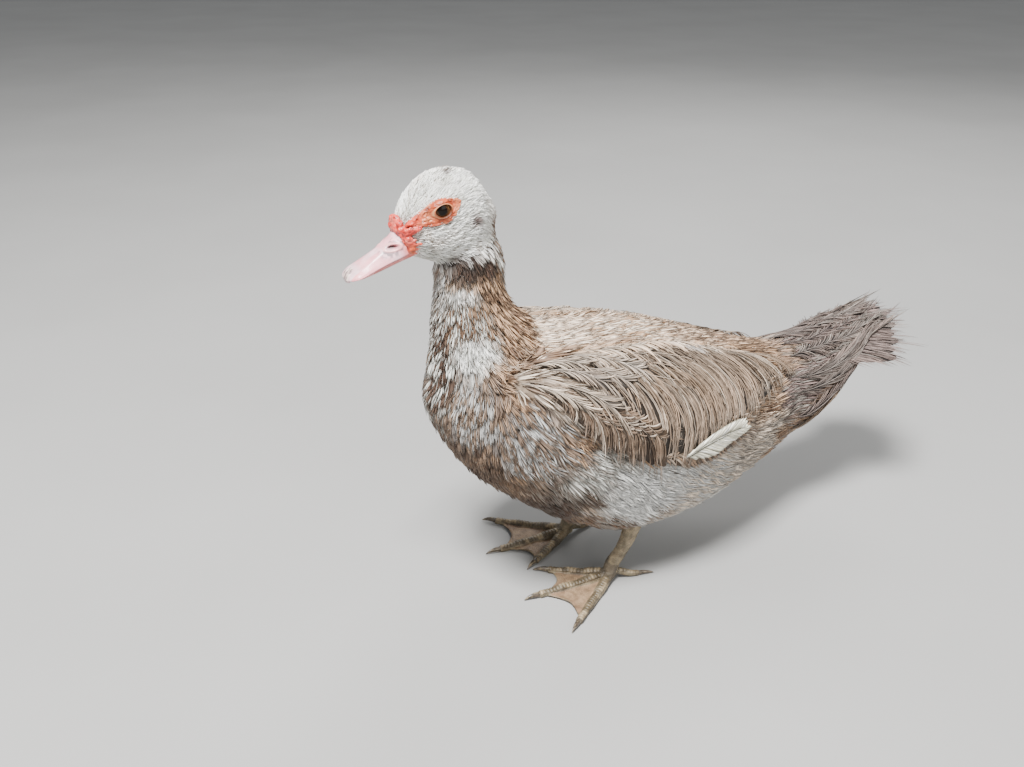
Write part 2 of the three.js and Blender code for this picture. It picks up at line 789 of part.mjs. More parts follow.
function tailSolid() {
  const random = randomFrom(41);
  const pieces = [tailRootSolid()];
  const middle = (TAIL.feathers - 1) / 2;
  for (let i = 0; i < TAIL.feathers; i++) {
    const off = Math.abs(i - middle) / middle;
    const turn = mix(-TAIL.spread, TAIL.spread, i / (TAIL.feathers - 1));
    pieces.push(tailFeather(turn, TAIL.length - 20 * off ** 2 + 4 * (random() - 0.5), 2.4 - 6 * off));
  }
  for (const tier of TAIL_COVERTS)
    for (let i = 0; i < tier.count; i++) pieces.push(tailCovert(tier, i, random));
  return largest(joined(pieces).trimByPlane([0, 1, 0], TAIL_CUT_Y + GAP));
}

// Legs and feet

function toeDirection(foot, angle) {
  const turned = (foot.turn + angle) * DEGREE * foot.sign;
  return new THREE.Vector3(Math.sin(turned), -Math.cos(turned), 0);
}

function toeSolid(foot, [length, angle]) {
  const way = toeDirection(foot, angle);
  const across = new THREE.Vector3(-way.y, way.x, 0);
  const knuckles = 3;
  const stations = [];
  for (let i = 0; i <= knuckles * 2; i++) {
    const t = i / (knuckles * 2);
    const swell = i % 2 ? 0.86 : 1;
    const radius = mix(TOE_RADIUS, TOE_RADIUS * 0.62, t) * swell;
    const height = mix(LEG.footJointZ * 0.55, radius * 0.8, Math.min(1, t * 2.4));
    stations.push({
      at: new THREE.Vector3(foot.x, foot.y, 0).addScaledVector(way, length * t).setZ(height),
      side: radius,
      up: radius,
      down: radius,
    });
  }
  return tubeForm(stations, 6, { steps: 1, across });
}

function webSolid(foot, first, second) {
  const reach = (toe, share) =>
    new THREE.Vector3(foot.x, foot.y, 0).addScaledVector(toeDirection(foot, toe[1]), toe[0] * share);
  const rows = [0.1, 0.45, 0.75, 0.93];
  const columns = [0, 0.3, 0.7, 1];
  const layer = (z) =>
    rows.map((share) =>
      columns.map((c) => {
        const hollow = 1 - 0.16 * Math.sin(Math.PI * c) * share ** 3;
        const p = reach(first, share * hollow).lerp(reach(second, share * hollow), c);
        return p.setZ(z + 0.8 * (1 - share));
      }),
    );
  return slab(layer(2), layer(0.8));
}

function hindToeStations(foot) {
  const way = toeDirection(foot, HIND_TOE.angle);
  return [0, 0.5, 1].map((t) => ({
    at: new THREE.Vector3(foot.x, foot.y, 0)
      .addScaledVector(way, 2 + HIND_TOE.length * t)
      .setZ(mix(8, HIND_TOE.radius * 0.7, Math.min(1, t * 1.3))),
    side: HIND_TOE.radius * (1 - 0.3 * t),
    up: HIND_TOE.radius * (1 - 0.3 * t),
    down: HIND_TOE.radius * (1 - 0.3 * t),
  }));
}

function shankWhole(foot, grow = 0) {
  const station = (x, y, z, side, depth) => ({
    at: new THREE.Vector3(x, y, z),
    side,
    up: depth,
    down: depth,
  });
  const r = LEG.shankRadius;
  return tubeForm(
    [
      station(foot.x, foot.y - 2, 4, r * 0.95, r * 0.95),
      station(foot.x, foot.y, LEG.footJointZ + 3, r * 0.95, r * 0.95),
      station(mix(foot.x, foot.hockX, 0.4), foot.y + 6, 26, r * 0.78, r * 0.95),
      station(mix(foot.x, foot.hockX, 0.8), foot.y + 12, 42, r * 0.95, r * 1.1),
      station(foot.hockX, foot.y + LEG.hockY, 58, r * 1.3, r * 1.5),
    ],
    12,
    { steps: 2, grow },
  );
}

function hindToeSolid(foot) {
  const across = new THREE.Vector3(1, 0, 0);
  const toe = tubeForm(hindToeStations(foot), 8, { steps: 1, across });
  const ankle = shankWhole(foot, GAP);
  return largest(above(toe.subtract(ankle), 0));
}

function footSolid(foot) {
  const pieces = [
    below(shankWhole(foot), LEG.footJointZ),
    webSolid(foot, FRONT_TOES[0], FRONT_TOES[1]),
    webSolid(foot, FRONT_TOES[1], FRONT_TOES[2]),
    ...FRONT_TOES.map((toe) => toeSolid(foot, toe)),
  ];
  return largest(above(joined(pieces), 0));
}

function clawSolid(foot, length, angle, radius) {
  const way = toeDirection(foot, angle);
  const across = new THREE.Vector3(-way.y, way.x, 0);
  const root = new THREE.Vector3(foot.x, foot.y, 0).addScaledVector(way, length);
  const station = (out, z, size) => ({
    at: root.clone().addScaledVector(way, out).setZ(z),
    side: size * 0.8,
    up: size,
    down: size,
  });
  const claw = tubeForm(
    [
      station(2 * GAP, radius * 0.95, radius * 0.95),
      station(CLAW.length * 0.4, radius * 1.15, radius * 0.8),
      station(CLAW.length * 0.75, radius * 0.8, radius * 0.5),
      station(CLAW.length, radius * 0.3, radius * 0.2),
    ],
    6,
    { steps: 1, across },
  );
  return largest(above(claw, 0.2));
}

// The whole bird

const duck = new THREE.Group();

function add(name, solid, material) {
  const made = solid.getMesh();
  const geometry = new THREE.BufferGeometry();
  geometry.setAttribute("position", new THREE.BufferAttribute(new Float32Array(made.vertProperties), 3));
  geometry.setIndex(new THREE.BufferAttribute(new Uint32Array(made.triVerts), 1));
  geometry.computeVertexNormals();
  const mesh = new THREE.Mesh(geometry, material);
  mesh.name = name;
  duck.add(mesh);
  return mesh;
}

function mirrored(solid) {
  return solid.mirror([1, 0, 0]);
}

const plumage = {
  breast: finish(COLOURS.breast, 0.9),
  neck: finish(COLOURS.neck, 0.9),
  head: finish(COLOURS.head, 0.9),
  wing: finish(COLOURS.wing, 0.85),
  tail: finish(COLOURS.tail, 0.85),
};
const faceFinish = finish(COLOURS.face, 0.6);
const billFinish = finish(COLOURS.bill, 0.45);
const eyeFinish = finish(COLOURS.eye, 0.1);
const legFinish = finish(COLOURS.leg, 0.7);
const clawFinish = finish(COLOURS.claw, 0.5);

function eyeSphere(grow = 0) {
  return solidOf(new THREE.SphereGeometry(EYE.radius + grow, 16, 10).translate(EYE.x, EYE.y, EYE.z));
}

// The skin leaves an oval hole for the eye, which the lids' rim covers.
function eyeOpening() {
  const hole = new THREE.CylinderGeometry(1, 1, 20, 14);
  hole.rotateZ(90 * DEGREE);
  hole.scale(1, LIDS.outer[0] - 0.4, LIDS.outer[1] - 0.4);
  hole.rotateX(LIDS.slant * DEGREE);
  return solidOf(hole.translate(EYE.x + 10, EYE.y, EYE.z));
}

function buildHead() {
  const upper = upperBillSolid();
  const lower = lowerBillSolid();
  const billRoom = joined([upperBillSolid(GAP), lowerBillSolid(GAP)]);
  const caruncle = largest(caruncleSolid().subtract(joined([headGrown, billRoom])));
  const lidRoom = eyeSphere(2 * GAP + LIDS.thickness).trimByPlane([1, 0, 0], EYE.x + 1.4);
  const skin = faceSkinSolid().subtract(joined([eyeOpening(), eyeSphere(GAP)]));
  const face = largest(joined([skin, lidSolid()]));
  const socket = joined([eyeSphere(GAP), lidRoom]);
  const skull = joined([headWhole, above(neckWhole, HEAD_SPLIT_Z + GAP)]);
  const holes = joined([socket, mirrored(socket), billRoom]);
  add("head", largest(above(skull.subtract(holes), HEAD_SPLIT_Z - 12)), plumage.head);
  add("face_skin_left", face, faceFinish);
  add("face_skin_right", mirrored(face), faceFinish);
  add("eye_left", eyeSphere(), eyeFinish);
  add("eye_right", mirrored(eyeSphere()), eyeFinish);
  add("caruncle", caruncle, finish(COLOURS.caruncle, 0.55));
  add("upper_bill", upper, billFinish);
  add("lower_bill", lower, billFinish);
}

function buildTrunk() {
  const neck = neckWhole.subtract(torsoGrown);
  const upperNeck = below(above(neckWhole, NECK_SPLIT_Z + GAP), HEAD_SPLIT_Z);
  add("neck_upper", largest(upperNeck.subtract(headGrown)), plumage.neck);
  add("neck_lower", largest(below(neck, NECK_SPLIT_Z)), plumage.neck);
  add("torso", torsoWhole.trimByPlane([0, -1, 0], -TAIL_CUT_Y), plumage.breast);
}

function buildLimbs() {
  add("wing_left", wingSolid(7), plumage.wing);
  add("wing_right", mirrored(wingSolid(19)), plumage.wing);
  add("tail", tailSolid(), plumage.tail);
  for (const [side, foot] of Object.entries(FEET)) {
    const shank = largest(above(shankWhole(foot), LEG.footJointZ + GAP).subtract(torsoGrown));
    const footPiece = footSolid(foot);
    add(`shank_${side}`, shank, legFinish);
    add(`foot_${side}`, footPiece, legFinish);
    add(`hind_toe_${side}`, hindToeSolid(foot), legFinish);
    FRONT_TOES.forEach(([length, angle], i) => {
      const claw = clawSolid(foot, length, angle, CLAW.radius);
      add(`claw_${side}_${["inner", "middle", "outer"][i]}`, claw, clawFinish);
    });
    const hind = clawSolid(foot, HIND_TOE.length + 2, HIND_TOE.angle, CLAW.radius * 0.8);
    add(`claw_${side}_hind`, hind, clawFinish);
  }
}

buildTrunk();
buildHead();
buildLimbs();

// The origin is on the floor, under the middle of the bird.
const bounds = new THREE.Box3().setFromObject(duck);
const centre = bounds.getCenter(new THREE.Vector3());
duck.position.set(-centre.x, -centre.y, -bounds.min.z);

export default duck;
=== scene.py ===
# A muscovy duck hen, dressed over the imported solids: one skin, a coat of solid feathers, bare face,
# bill, eyes, scaled legs and claws. Sizes are in millimetres in the bird's own frame, where she faces -Y,
# her left side is +X and her feet stand on Z = 0; place() turns them into metres in the row frame.
import math

import bmesh
import bpy
import numpy as np
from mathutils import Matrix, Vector


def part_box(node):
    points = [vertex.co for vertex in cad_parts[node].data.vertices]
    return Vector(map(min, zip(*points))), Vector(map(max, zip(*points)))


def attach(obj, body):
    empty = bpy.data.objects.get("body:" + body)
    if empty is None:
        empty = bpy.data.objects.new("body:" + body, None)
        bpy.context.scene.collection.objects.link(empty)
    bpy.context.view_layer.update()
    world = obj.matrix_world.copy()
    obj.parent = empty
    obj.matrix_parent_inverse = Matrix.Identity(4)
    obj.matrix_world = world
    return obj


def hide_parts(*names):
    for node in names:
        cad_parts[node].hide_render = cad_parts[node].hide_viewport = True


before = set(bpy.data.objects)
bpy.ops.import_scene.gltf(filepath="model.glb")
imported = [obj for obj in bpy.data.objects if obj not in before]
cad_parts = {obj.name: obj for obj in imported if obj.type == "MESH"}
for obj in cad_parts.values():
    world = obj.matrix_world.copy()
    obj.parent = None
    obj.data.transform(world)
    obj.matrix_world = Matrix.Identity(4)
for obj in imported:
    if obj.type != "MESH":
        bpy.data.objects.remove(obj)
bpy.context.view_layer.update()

DEGREE = math.pi / 180
MM = 0.001

# Sizes shared with the solids

# Each row of a body form is [y, top, bottom, half width].
TORSO_ROWS = [
    [-142, 210, 140, 44],
    [-122, 221, 118, 58],
    [-95, 224, 97, 68],
    [-60, 221, 70, 75],
    [-20, 215, 46, 79],
    [20, 209, 33, 79],
    [60, 200, 33, 75],
    [100, 188, 40, 66],
    [145, 174, 52, 53],
    [190, 163, 70, 40],
    [216, 160, 88, 33],
]
HEAD_ROWS = [
    [-160, 317, 293, 11],
    [-149, 333, 288, 15.5],
    [-136, 343, 283, 20],
    [-122, 346, 279, 22.5],
    [-106, 342.5, 279, 21.3],
    [-92, 332, 286, 17],
    [-83, 321, 297, 12],
]
# Each neck station is [y, z, half width, half depth].
NECK_STATIONS = [
    [-84, 176, 46, 46],
    [-94, 205, 41, 44],
    [-101, 226, 33, 35],
    [-105, 243, 27, 28.5],
    [-106, 260, 24, 25],
    [-106, 278, 23, 24.5],
    [-108, 300, 20, 23],
]
BILL = {"base": (-148, 295), "tip": (-194, 279.5)}
EYE = {"y": -131.2, "z": 322.3, "x": 14.6, "radius": 7.4}
WING = {"front": -98, "back": 168}
TAIL = {"root_y": 190, "root_z": 150, "pitch": 9, "spread": 27, "length": 126, "droop": 16, "cut": 196}
LEG = {"joint_z": 11, "radius": 6.2, "hock_y": 16}
FEET = {
    "left": {"x": 41, "y": 0, "hock_x": 47, "turn": -4, "sign": 1},
    "right": {"x": -31, "y": 0, "hock_x": -43, "turn": 3, "sign": -1},
}
FRONT_TOES = {"inner": (52, -32), "middle": (65, 0), "outer": (66, 40)}
TOE_RADIUS = 4.6
HIND_TOE = {"length": 22, "angle": 168, "radius": 3.2}
CLAW = {"length": 13, "radius": 2.5}
EYE_CENTRE = np.array([EYE["x"], EYE["y"], EYE["z"]])

# Fitted to the photograph in this file alone

LIDS = {"half_length": 5.7, "half_height": 4.4, "slant": 12}
# How far the bare patch reaches from the eye, and how much it narrows towards its ends
FACE = {"forward": 24, "back": 13.5, "above": 5.3, "below": 7.9, "slant": 22, "narrowing": 0.62}
BARE_EDGE = 0.73  # the coat begins at this share of the bare patch, and hides its edge
# How far the skin lies inside the outside of the coat
COAT_DEPTH = {"torso": 5.0, "neck": 3.6, "head": 2.0, "wing": 3.0, "tail": 3.5}
# The photograph's view: where the camera stands in the bird's frame, and which way it looks
CAMERA = {"at": (608, -380.5, 500), "down": 25.4, "azimuth": 63.0, "lens": 35.16}


def eye_shift():
    """The row frame's origin is under the middle of the bird's box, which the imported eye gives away."""
    low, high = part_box("eye_left")
    middle = (low + high) / 2 / MM
    return np.array([middle.x - EYE["x"], middle.y - EYE["y"], 0])


SHIFT = eye_shift()


def place(points):
    """Bird-frame millimetres to row-frame metres."""
    return (np.asarray(points, float) + SHIFT) * MM


def sided(name, side):
    """A name's left one for side 1, and its right one for side -1."""
    return f"{name}_left" if side > 0 else f"{name}_right"


# Small numbers


def mix(a, b, t):
    return a + (b - a) * t


def ease(low, high, x):
    """0 below low and 1 above high, with a smooth rise between."""
    t = np.clip((np.asarray(x, float) - low) / (high - low), 0, 1)
    return t * t * (3 - 2 * t)


def smooth_curve(xs, values):
    """A smooth curve through rising (x, value) pairs, which never overshoots them."""
    xs = np.asarray(xs, float)
    values = np.asarray(values, float)
    slopes = np.diff(values) / np.diff(xs)
    product = slopes[:-1] * slopes[1:]
    total = slopes[:-1] + slopes[1:]
    inner = np.where(product > 0, 2 * product / np.where(product > 0, total, 1), 0)
    tangents = np.concatenate([[slopes[0]], inner, [slopes[-1]]])

    def curve(x):
        x = np.asarray(x, float)
        i = np.clip(np.searchsorted(xs, x, side="right") - 1, 0, len(xs) - 2)
        h = xs[i + 1] - xs[i]
        t = np.clip((x - xs[i]) / h, 0, 1)
        return (
            values[i] * (2 * t**3 - 3 * t**2 + 1)
            + tangents[i] * h * (t**3 - 2 * t**2 + t)
            + values[i + 1] * (3 * t**2 - 2 * t**3)
            + tangents[i + 1] * h * (t**3 - t**2)
        )

    return curve


def curves(table):
    """A smooth curve for each further column of a table, over its first."""
    xs, *columns = zip(*table)
    return [smooth_curve(xs, column) for column in columns]


def turns(count):
    """Equal steps of an angle, once round."""
    return 2 * np.pi * np.arange(count) / count


def shares(count):
    """Equal steps from 0 to 1."""
    return [i / (count - 1) for i in range(count)]


def signed_power(value, power):
    return np.sign(value) * np.abs(value) ** power


def unit(vectors):
    length = np.linalg.norm(vectors, axis=-1, keepdims=True)
    return vectors / np.maximum(length, 1e-9)


def lattice(i, j, k, seed):
    """A repeatable number from 0 to 1 at each whole-number place."""
    n = i * 374761393 + j * 668265263 + k * 2147483647 + seed * 1274126177
    n = (n ^ (n >> 13)) * 1274126177
    return ((n ^ (n >> 16)) & 0xFFFFFF) / float(0xFFFFFF)


def noise(points, size, seed=0):
    """Smooth noise from 0 to 1, whose blotches are about size across."""
    p = np.asarray(points, float) / size + 100
    cell = np.floor(p).astype(np.int64)
    f = p - cell
    f = f * f * (3 - 2 * f)
    value = 0
    for dx in (0, 1):
        for dy in (0, 1):
            for dz in (0, 1):
                weight = (
                    (f[..., 0] if dx else 1 - f[..., 0])
                    * (f[..., 1] if dy else 1 - f[..., 1])
                    * (f[..., 2] if dz else 1 - f[..., 2])
                )
                corner = lattice(cell[..., 0] + dx, cell[..., 1] + dy, cell[..., 2] + dz, seed)
                value = value + weight * corner
    return value


def linear(hex_colour):
    """An sRGB colour such as d8ccbd as linear numbers, a little stronger, as the view weakens it."""
    channels = np.array([int(hex_colour[k : k + 2], 16) / 255 for k in (0, 2, 4)])
    light = np.where(channels < 0.04045, channels / 12.92, ((channels + 0.055) / 1.055) ** 2.4)
    grey = light @ np.array([0.21, 0.72, 0.07])
    return np.clip(grey + (light - grey) * 1.14, 0.002, 1)


def painted(tone, *layers):
    """A colour with others laid over it, each with its amount at each place."""
    for colour, amount in layers:
        over = linear(colour) if isinstance(colour, str) else colour
        tone = mix(tone, over, np.asarray(amount)[..., None])
    return tone


# Body forms


class BodyForm:
    """A smooth shell along Y from rows of top, bottom and half width."""

    def __init__(self, rows, front_round, back_round, squareness):
        self.top, self.bottom, self.half = curves(rows)
        self.first, self.last = rows[0][0], rows[-1][0]
        self.front_round, self.back_round = front_round, back_round
        self.squareness = squareness

    def closing(self, y):
        def rounding(distance, over):
            return np.sqrt(np.clip(1 - (1 - np.minimum(distance / over, 1)) ** 2, 0, 1))

        return rounding(y - self.first, self.front_round) * rounding(self.last - y, self.back_round)

    def sizes(self, y, grow=0):
        """Middle height, half height and half width at a place along the body."""
        closing = self.closing(y)
        middle = (self.top(y) + self.bottom(y)) / 2
        half_height = (self.top(y) - self.bottom(y)) / 2 * closing + grow
        return middle, half_height, self.half(y) * closing + grow

    def point(self, y, angle, grow=0):
        """Angle 0 is the bird's left side and 90 degrees is her back."""
        y, angle, grow = np.broadcast_arrays(np.asarray(y, float), angle, grow)
        middle, half_height, half_width = self.sizes(y, grow)
        power = 2 / self.squareness
        return np.stack(
            [
                half_width * signed_power(np.cos(angle), power),
                y,
                middle + half_height * signed_power(np.sin(angle), power),
            ],
            axis=-1,
        )

    def side(self, y, z, grow=0):
        """How far out the surface lies at a place along the body and a height."""
        middle, half_height, half_width = self.sizes(y, grow)
        share = np.clip(np.abs(z - middle) / np.maximum(half_height, 0.1), 0, 0.999)
        return half_width * (1 - share**self.squareness) ** (1 / self.squareness)

    def rings(self, count, around, grow):
        shares = (1 - np.cos(np.pi * np.arange(1, count) / count)) / 2
        ys = mix(self.first, self.last, shares)
        rings = self.point(ys[:, None], turns(around)[None, :], np.minimum(0, grow))
        rings[..., 1] += mix(-grow, grow, shares)[:, None]
        return rings


torso = BodyForm(TORSO_ROWS, 46, 16, 2.25)
head = BodyForm(HEAD_ROWS, 9, 24, 2.15)


def tube_rings(stations, around, steps=4, across=(1.0, 0, 0), grow=0):
    """Rings along stations of (point, half width, reach up, reach down)."""
    points = np.array([s[0] for s in stations], float)
    shares = np.linspace(0, 1, len(stations))
    fine = np.linspace(0, 1, (len(stations) - 1) * steps + 1)
    centre = np.stack([smooth_curve(shares, points[:, k])(fine) for k in range(3)], axis=-1)
    side, up, down = (smooth_curve(shares, [s[k] for s in stations])(fine) + grow for k in (1, 2, 3))
    along = unit(np.gradient(centre, axis=0))
    sideways = np.broadcast_to(np.array(across, float), centre.shape)
    sideways = unit(sideways - along * np.sum(sideways * along, axis=-1, keepdims=True))
    upward = unit(np.cross(along, sideways))
    wide, rise = np.cos(turns(around)), np.sin(turns(around))
    reach = np.where(rise > 0, up[:, None], down[:, None]) * rise
    return (
        centre[:, None]
        + sideways[:, None] * (side[:, None] * wide)[..., None]
        + upward[:, None] * reach[..., None]
    )


# Meshes


def closed_tube(rings):
    """Vertices and faces of a tube closed at both ends."""
    count, around = rings.shape[:2]
    verts = np.concatenate([rings.reshape(-1, 3), [rings[0].mean(axis=0)], [rings[-1].mean(axis=0)]])
    faces = []
    for r in range(count - 1):
        for k in range(around):
            n = (k + 1) % around
            faces.append((r * around + k, (r + 1) * around + k, (r + 1) * around + n, r * around + n))
    first, last = count * around, count * around + 1
    for k in range(around):
        n = (k + 1) % around
        faces.append((first, k, n))
        faces.append((last, (count - 1) * around + n, (count - 1) * around + k))
    return verts, faces


def closed_slab(top, bottom):
    """Vertices and faces of a thin slab over two grids of points alike."""
    rows, columns = top.shape[:2]
    verts = np.concatenate([top.reshape(-1, 3), bottom.reshape(-1, 3)])
    under = rows * columns
    faces = []
    for r in range(rows - 1):
        for c in range(columns - 1):
            a, b = r * columns + c, r * columns + c + 1
            d, e = a + columns, b + columns
            faces.append((a, b, e, d))
            faces.append((under + a, under + d, under + e, under + b))
    rim = list(range(columns - 1))
    rim += [r * columns + columns - 1 for r in range(rows - 1)]
    rim += [(rows - 1) * columns + c for c in range(columns - 1, 0, -1)]
    rim += [r * columns for r in range(rows - 1, 0, -1)]
    for i, a in enumerate(rim):
        b = rim[(i + 1) % len(rim)]
        faces.append((a, under + a, under + b, b))
    return verts, faces


def merged(parts):
    """Several (vertices, faces) as one."""
    verts, faces, start = [], [], 0
    for part_verts, part_faces in parts:
        verts.append(part_verts)
        faces += [tuple(start + i for i in face) for face in part_faces]
        start += len(part_verts)
    return np.concatenate(verts), faces


def outward(mesh):
    """Turns every face outwards."""
    work = bmesh.new()
    work.from_mesh(mesh)
    bmesh.ops.recalc_face_normals(work, faces=work.faces)
    work.to_mesh(mesh)
    work.free()


def linked(made):
    """The object, put into the scene."""
    bpy.context.scene.collection.objects.link(made)
    return made


def loose_object(name, verts, faces, recalculate=True):
    """A smooth mesh object in no scene yet, from vertices as they are."""
    mesh = bpy.data.meshes.new(name)
    mesh.from_pydata(verts.tolist(), [], faces)
    if recalculate:
        outward(mesh)
    mesh.polygons.foreach_set("use_smooth", [True] * len(mesh.polygons))
    return bpy.data.objects.new(name, mesh)


def new_object(name, verts, faces, recalculate=True):
    """A mesh object in the row frame from bird-frame vertices."""
    return linked(loose_object(name, place(verts), faces, recalculate))


def gathered(items, field):
    """One vector of each vertex or face, as rows."""
    values = np.empty(len(items) * 3)
    items.foreach_get(field, values)
    return values.reshape(-1, 3)


def vertices_of(obj):
    """An object's vertices and their normals, in bird-frame millimetres."""
    vertices = obj.data.vertices
    return gathered(vertices, "co") / MM - SHIFT, gathered(vertices, "normal")


def faces_of(obj):
    """The middles of an object's faces and their normals, in bird-frame millimetres."""
    faces = obj.data.polygons
    return gathered(faces, "center") / MM - SHIFT, gathered(faces, "normal")


def move_vertices(obj, points):
    obj.data.vertices.foreach_set("co", place(points).ravel())
    obj.data.update()


VECTORS = ("lie", "home", "size", "patch")
COLOURS = ("tint", "first", "second")


def store(obj, **kept):
    """Keeps values on a mesh under their names: a region for each face, and the rest for each point."""
    for name, values in kept.items():
        values = np.asarray(values, float)
        kind, field = "FLOAT", "value"
        if name in VECTORS:
            kind, field = "FLOAT_VECTOR", "vector"
        elif name in COLOURS:
            kind, field = "FLOAT_COLOR", "color"
            values = np.concatenate([values, np.ones((len(values), 1))], axis=1)
        elif name == "region":
            kind, values = "INT", values.astype(int)
        made = obj.data.attributes.new(name, kind, "FACE" if name == "region" else "POINT")
        made.data.foreach_set(field, values.ravel())


def coloured(made, tone, material):
    """The object with its own colours and one finish."""
    store(made, tint=tone)
    made.data.materials.append(material)
    return made


def settled(obj):
    """The object with its modifiers worked into its mesh."""
    depsgraph = bpy.context.evaluated_depsgraph_get()
    mesh = bpy.data.meshes.new_from_object(obj.evaluated_get(depsgraph))
    obj.modifiers.clear()
    old = obj.data
    obj.data = mesh
    mesh.name = obj.name
    bpy.data.meshes.remove(old)
    return obj


def fused(name, parts, voxel, smoothing):
    """One closed skin over overlapping closed parts, with its creases softened."""
    made = new_object(name, *merged(parts))
    remesh = made.modifiers.new("fuse", "REMESH")
    remesh.mode = "VOXEL"
    remesh.voxel_size = voxel * MM
    remesh.use_smooth_shade = True
    soften = made.modifiers.new("soften", "SMOOTH")
    soften.factor = 0.5
    soften.iterations = smoothing
    return settled(made)


# The folded wing's chart: a share along it and a share down it, over the torso's side

wing_top = smooth_curve([0, 0.08, 0.25, 0.6, 1], [44, 56, 66, 72, 68])
wing_low = smooth_curve([0, 0.08, 0.2, 0.45, 0.75, 1], [38, 26, 14, 8, 12, 30])
wing_bulge = smooth_curve([0, 0.05, 0.12, 0.28, 0.45, 0.6, 0.72, 1.1], [1, 6, 10.5, 9, 6.6, 4.2, 2.6, 1.6])
WING_LENGTH = 266  # millimetres that one whole share along stands for
WING_DROP = 92  # and one whole share down
WING_ROOT = -14.0  # how deep in the torso the wing's core ends


def wing_place(along, down, lift, side=1):
    angle = mix(wing_top(along), wing_low(along), down) * DEGREE
    points = torso.point(mix(WING["front"], WING["back"], along), angle, lift)
    points[..., 0] *= side
    return points


def wing_lift(along, down):
    edge = np.minimum(1, np.abs(2 * down - 1)) ** 5
    return wing_bulge(along) * (1 - 0.55 * edge)


def wing_core(side):
    rows, columns = 24, 14
    along = np.linspace(0, 0.8, rows)[:, None] + np.zeros((1, columns))
    down = np.linspace(0, 1, columns)[None, :] + np.zeros((rows, 1))
    lift = (wing_lift(along, down) - COAT_DEPTH["wing"]) * ease(-0.02, 0.26, along)
    top = wing_place(along, down, lift, side)
    return closed_slab(top, wing_place(along, down, np.full(along.shape, WING_ROOT), side))


# The tail's chart: how far back, how far to the side, and how high


def tail_place(reach, lateral, lift):
    reach, lateral, lift = np.broadcast_arrays(np.asarray(reach, float), lateral, lift)
    pitch = TAIL["pitch"] * DEGREE
    turn = np.arctan2(lateral, np.maximum(reach, 1)) / DEGREE
    share = np.clip(reach / TAIL["length"], 0, None)
    sag = TAIL["droop"] * (turn / TAIL["spread"]) ** 2 * share**1.5
    up = lift - sag + 6 * share**3
    return np.stack(
        [
            lateral,
            TAIL["root_y"] + reach * math.cos(pitch) - up * math.sin(pitch),
            TAIL["root_z"] + reach * math.sin(pitch) + up * math.cos(pitch),
        ],
        axis=-1,
    )


TAIL_ROOT = [
    # reach back, share of the torso's width, share of its depth
    [6, 1, 1],
    [22, 0.99, 0.86],
    [42, 0.96, 0.64],
    [62, 0.86, 0.4],
    [80, 0.66, 0.16],
    [104, 0.6, 0.08],
]
tail_wide, tail_deep = curves(TAIL_ROOT)


def tail_root_point(reach, angle, lift):
    first = torso.point(TAIL["cut"], np.pi / 2)[2]
    start = torso.point(TAIL["cut"], angle)
    middle = tail_place(reach, 0, 0)[..., 2] + 5
    top = mix(first, middle, np.clip((reach - 6) / 40, 0, 1))
    return np.stack(
        [
            start[..., 0] * tail_wide(reach) + lift * np.cos(angle),
            TAIL["root_y"] + reach + np.zeros_like(angle),
            top - (first - start[..., 2]) * tail_deep(reach) + lift * np.sin(angle),
        ],
        axis=-1,
    )


def tail_root_core():
    reach = np.array([-20, 6, 22, 42, 62, 80.0])[:, None]
    angle = turns(36)[None, :] + 0 * reach
    return closed_tube(tail_root_point(reach, angle, -COAT_DEPTH["tail"]))


# Skin


def neck_core():
    stations = [((0, y, z), side, depth, depth) for y, z, side, depth in NECK_STATIONS]
    return closed_tube(tube_rings(stations, 40, grow=-COAT_DEPTH["neck"]))


def build_skin():
    parts = [
        closed_tube(torso.rings(46, 60, -COAT_DEPTH["torso"])),
        neck_core(),
        closed_tube(head.rings(30, 44, -COAT_DEPTH["head"])),
        wing_core(1),
        wing_core(-1),
        tail_root_core(),
    ]
    return fused("skin", parts, 2.2, 5)


# Markings: the same for skin and coat

PALETTE = {
    name: linear(colour)
    for name, colour in {
        "white": "fbfaf6",
        "off_white": "e0dfd8",
        "pale_grey": "c3c2bf",
        "cream": "e3d4c3",
        "buff": "d0b8a2",
        "tan": "b3967c",
        "brown": "705a4a",
        "dark": "453a33",
        "grey_beige": "9c958d",
        "mauve": "83726d",
        "blue_grey": "aeb2b6",
        "spot": "857b77",
        "taupe": "857365",
        "umber": "4c3c33",
    }.items()
}
BROWN, TAN, BUFF, CREAM = (PALETTE[name] for name in ("brown", "tan", "buff", "cream"))

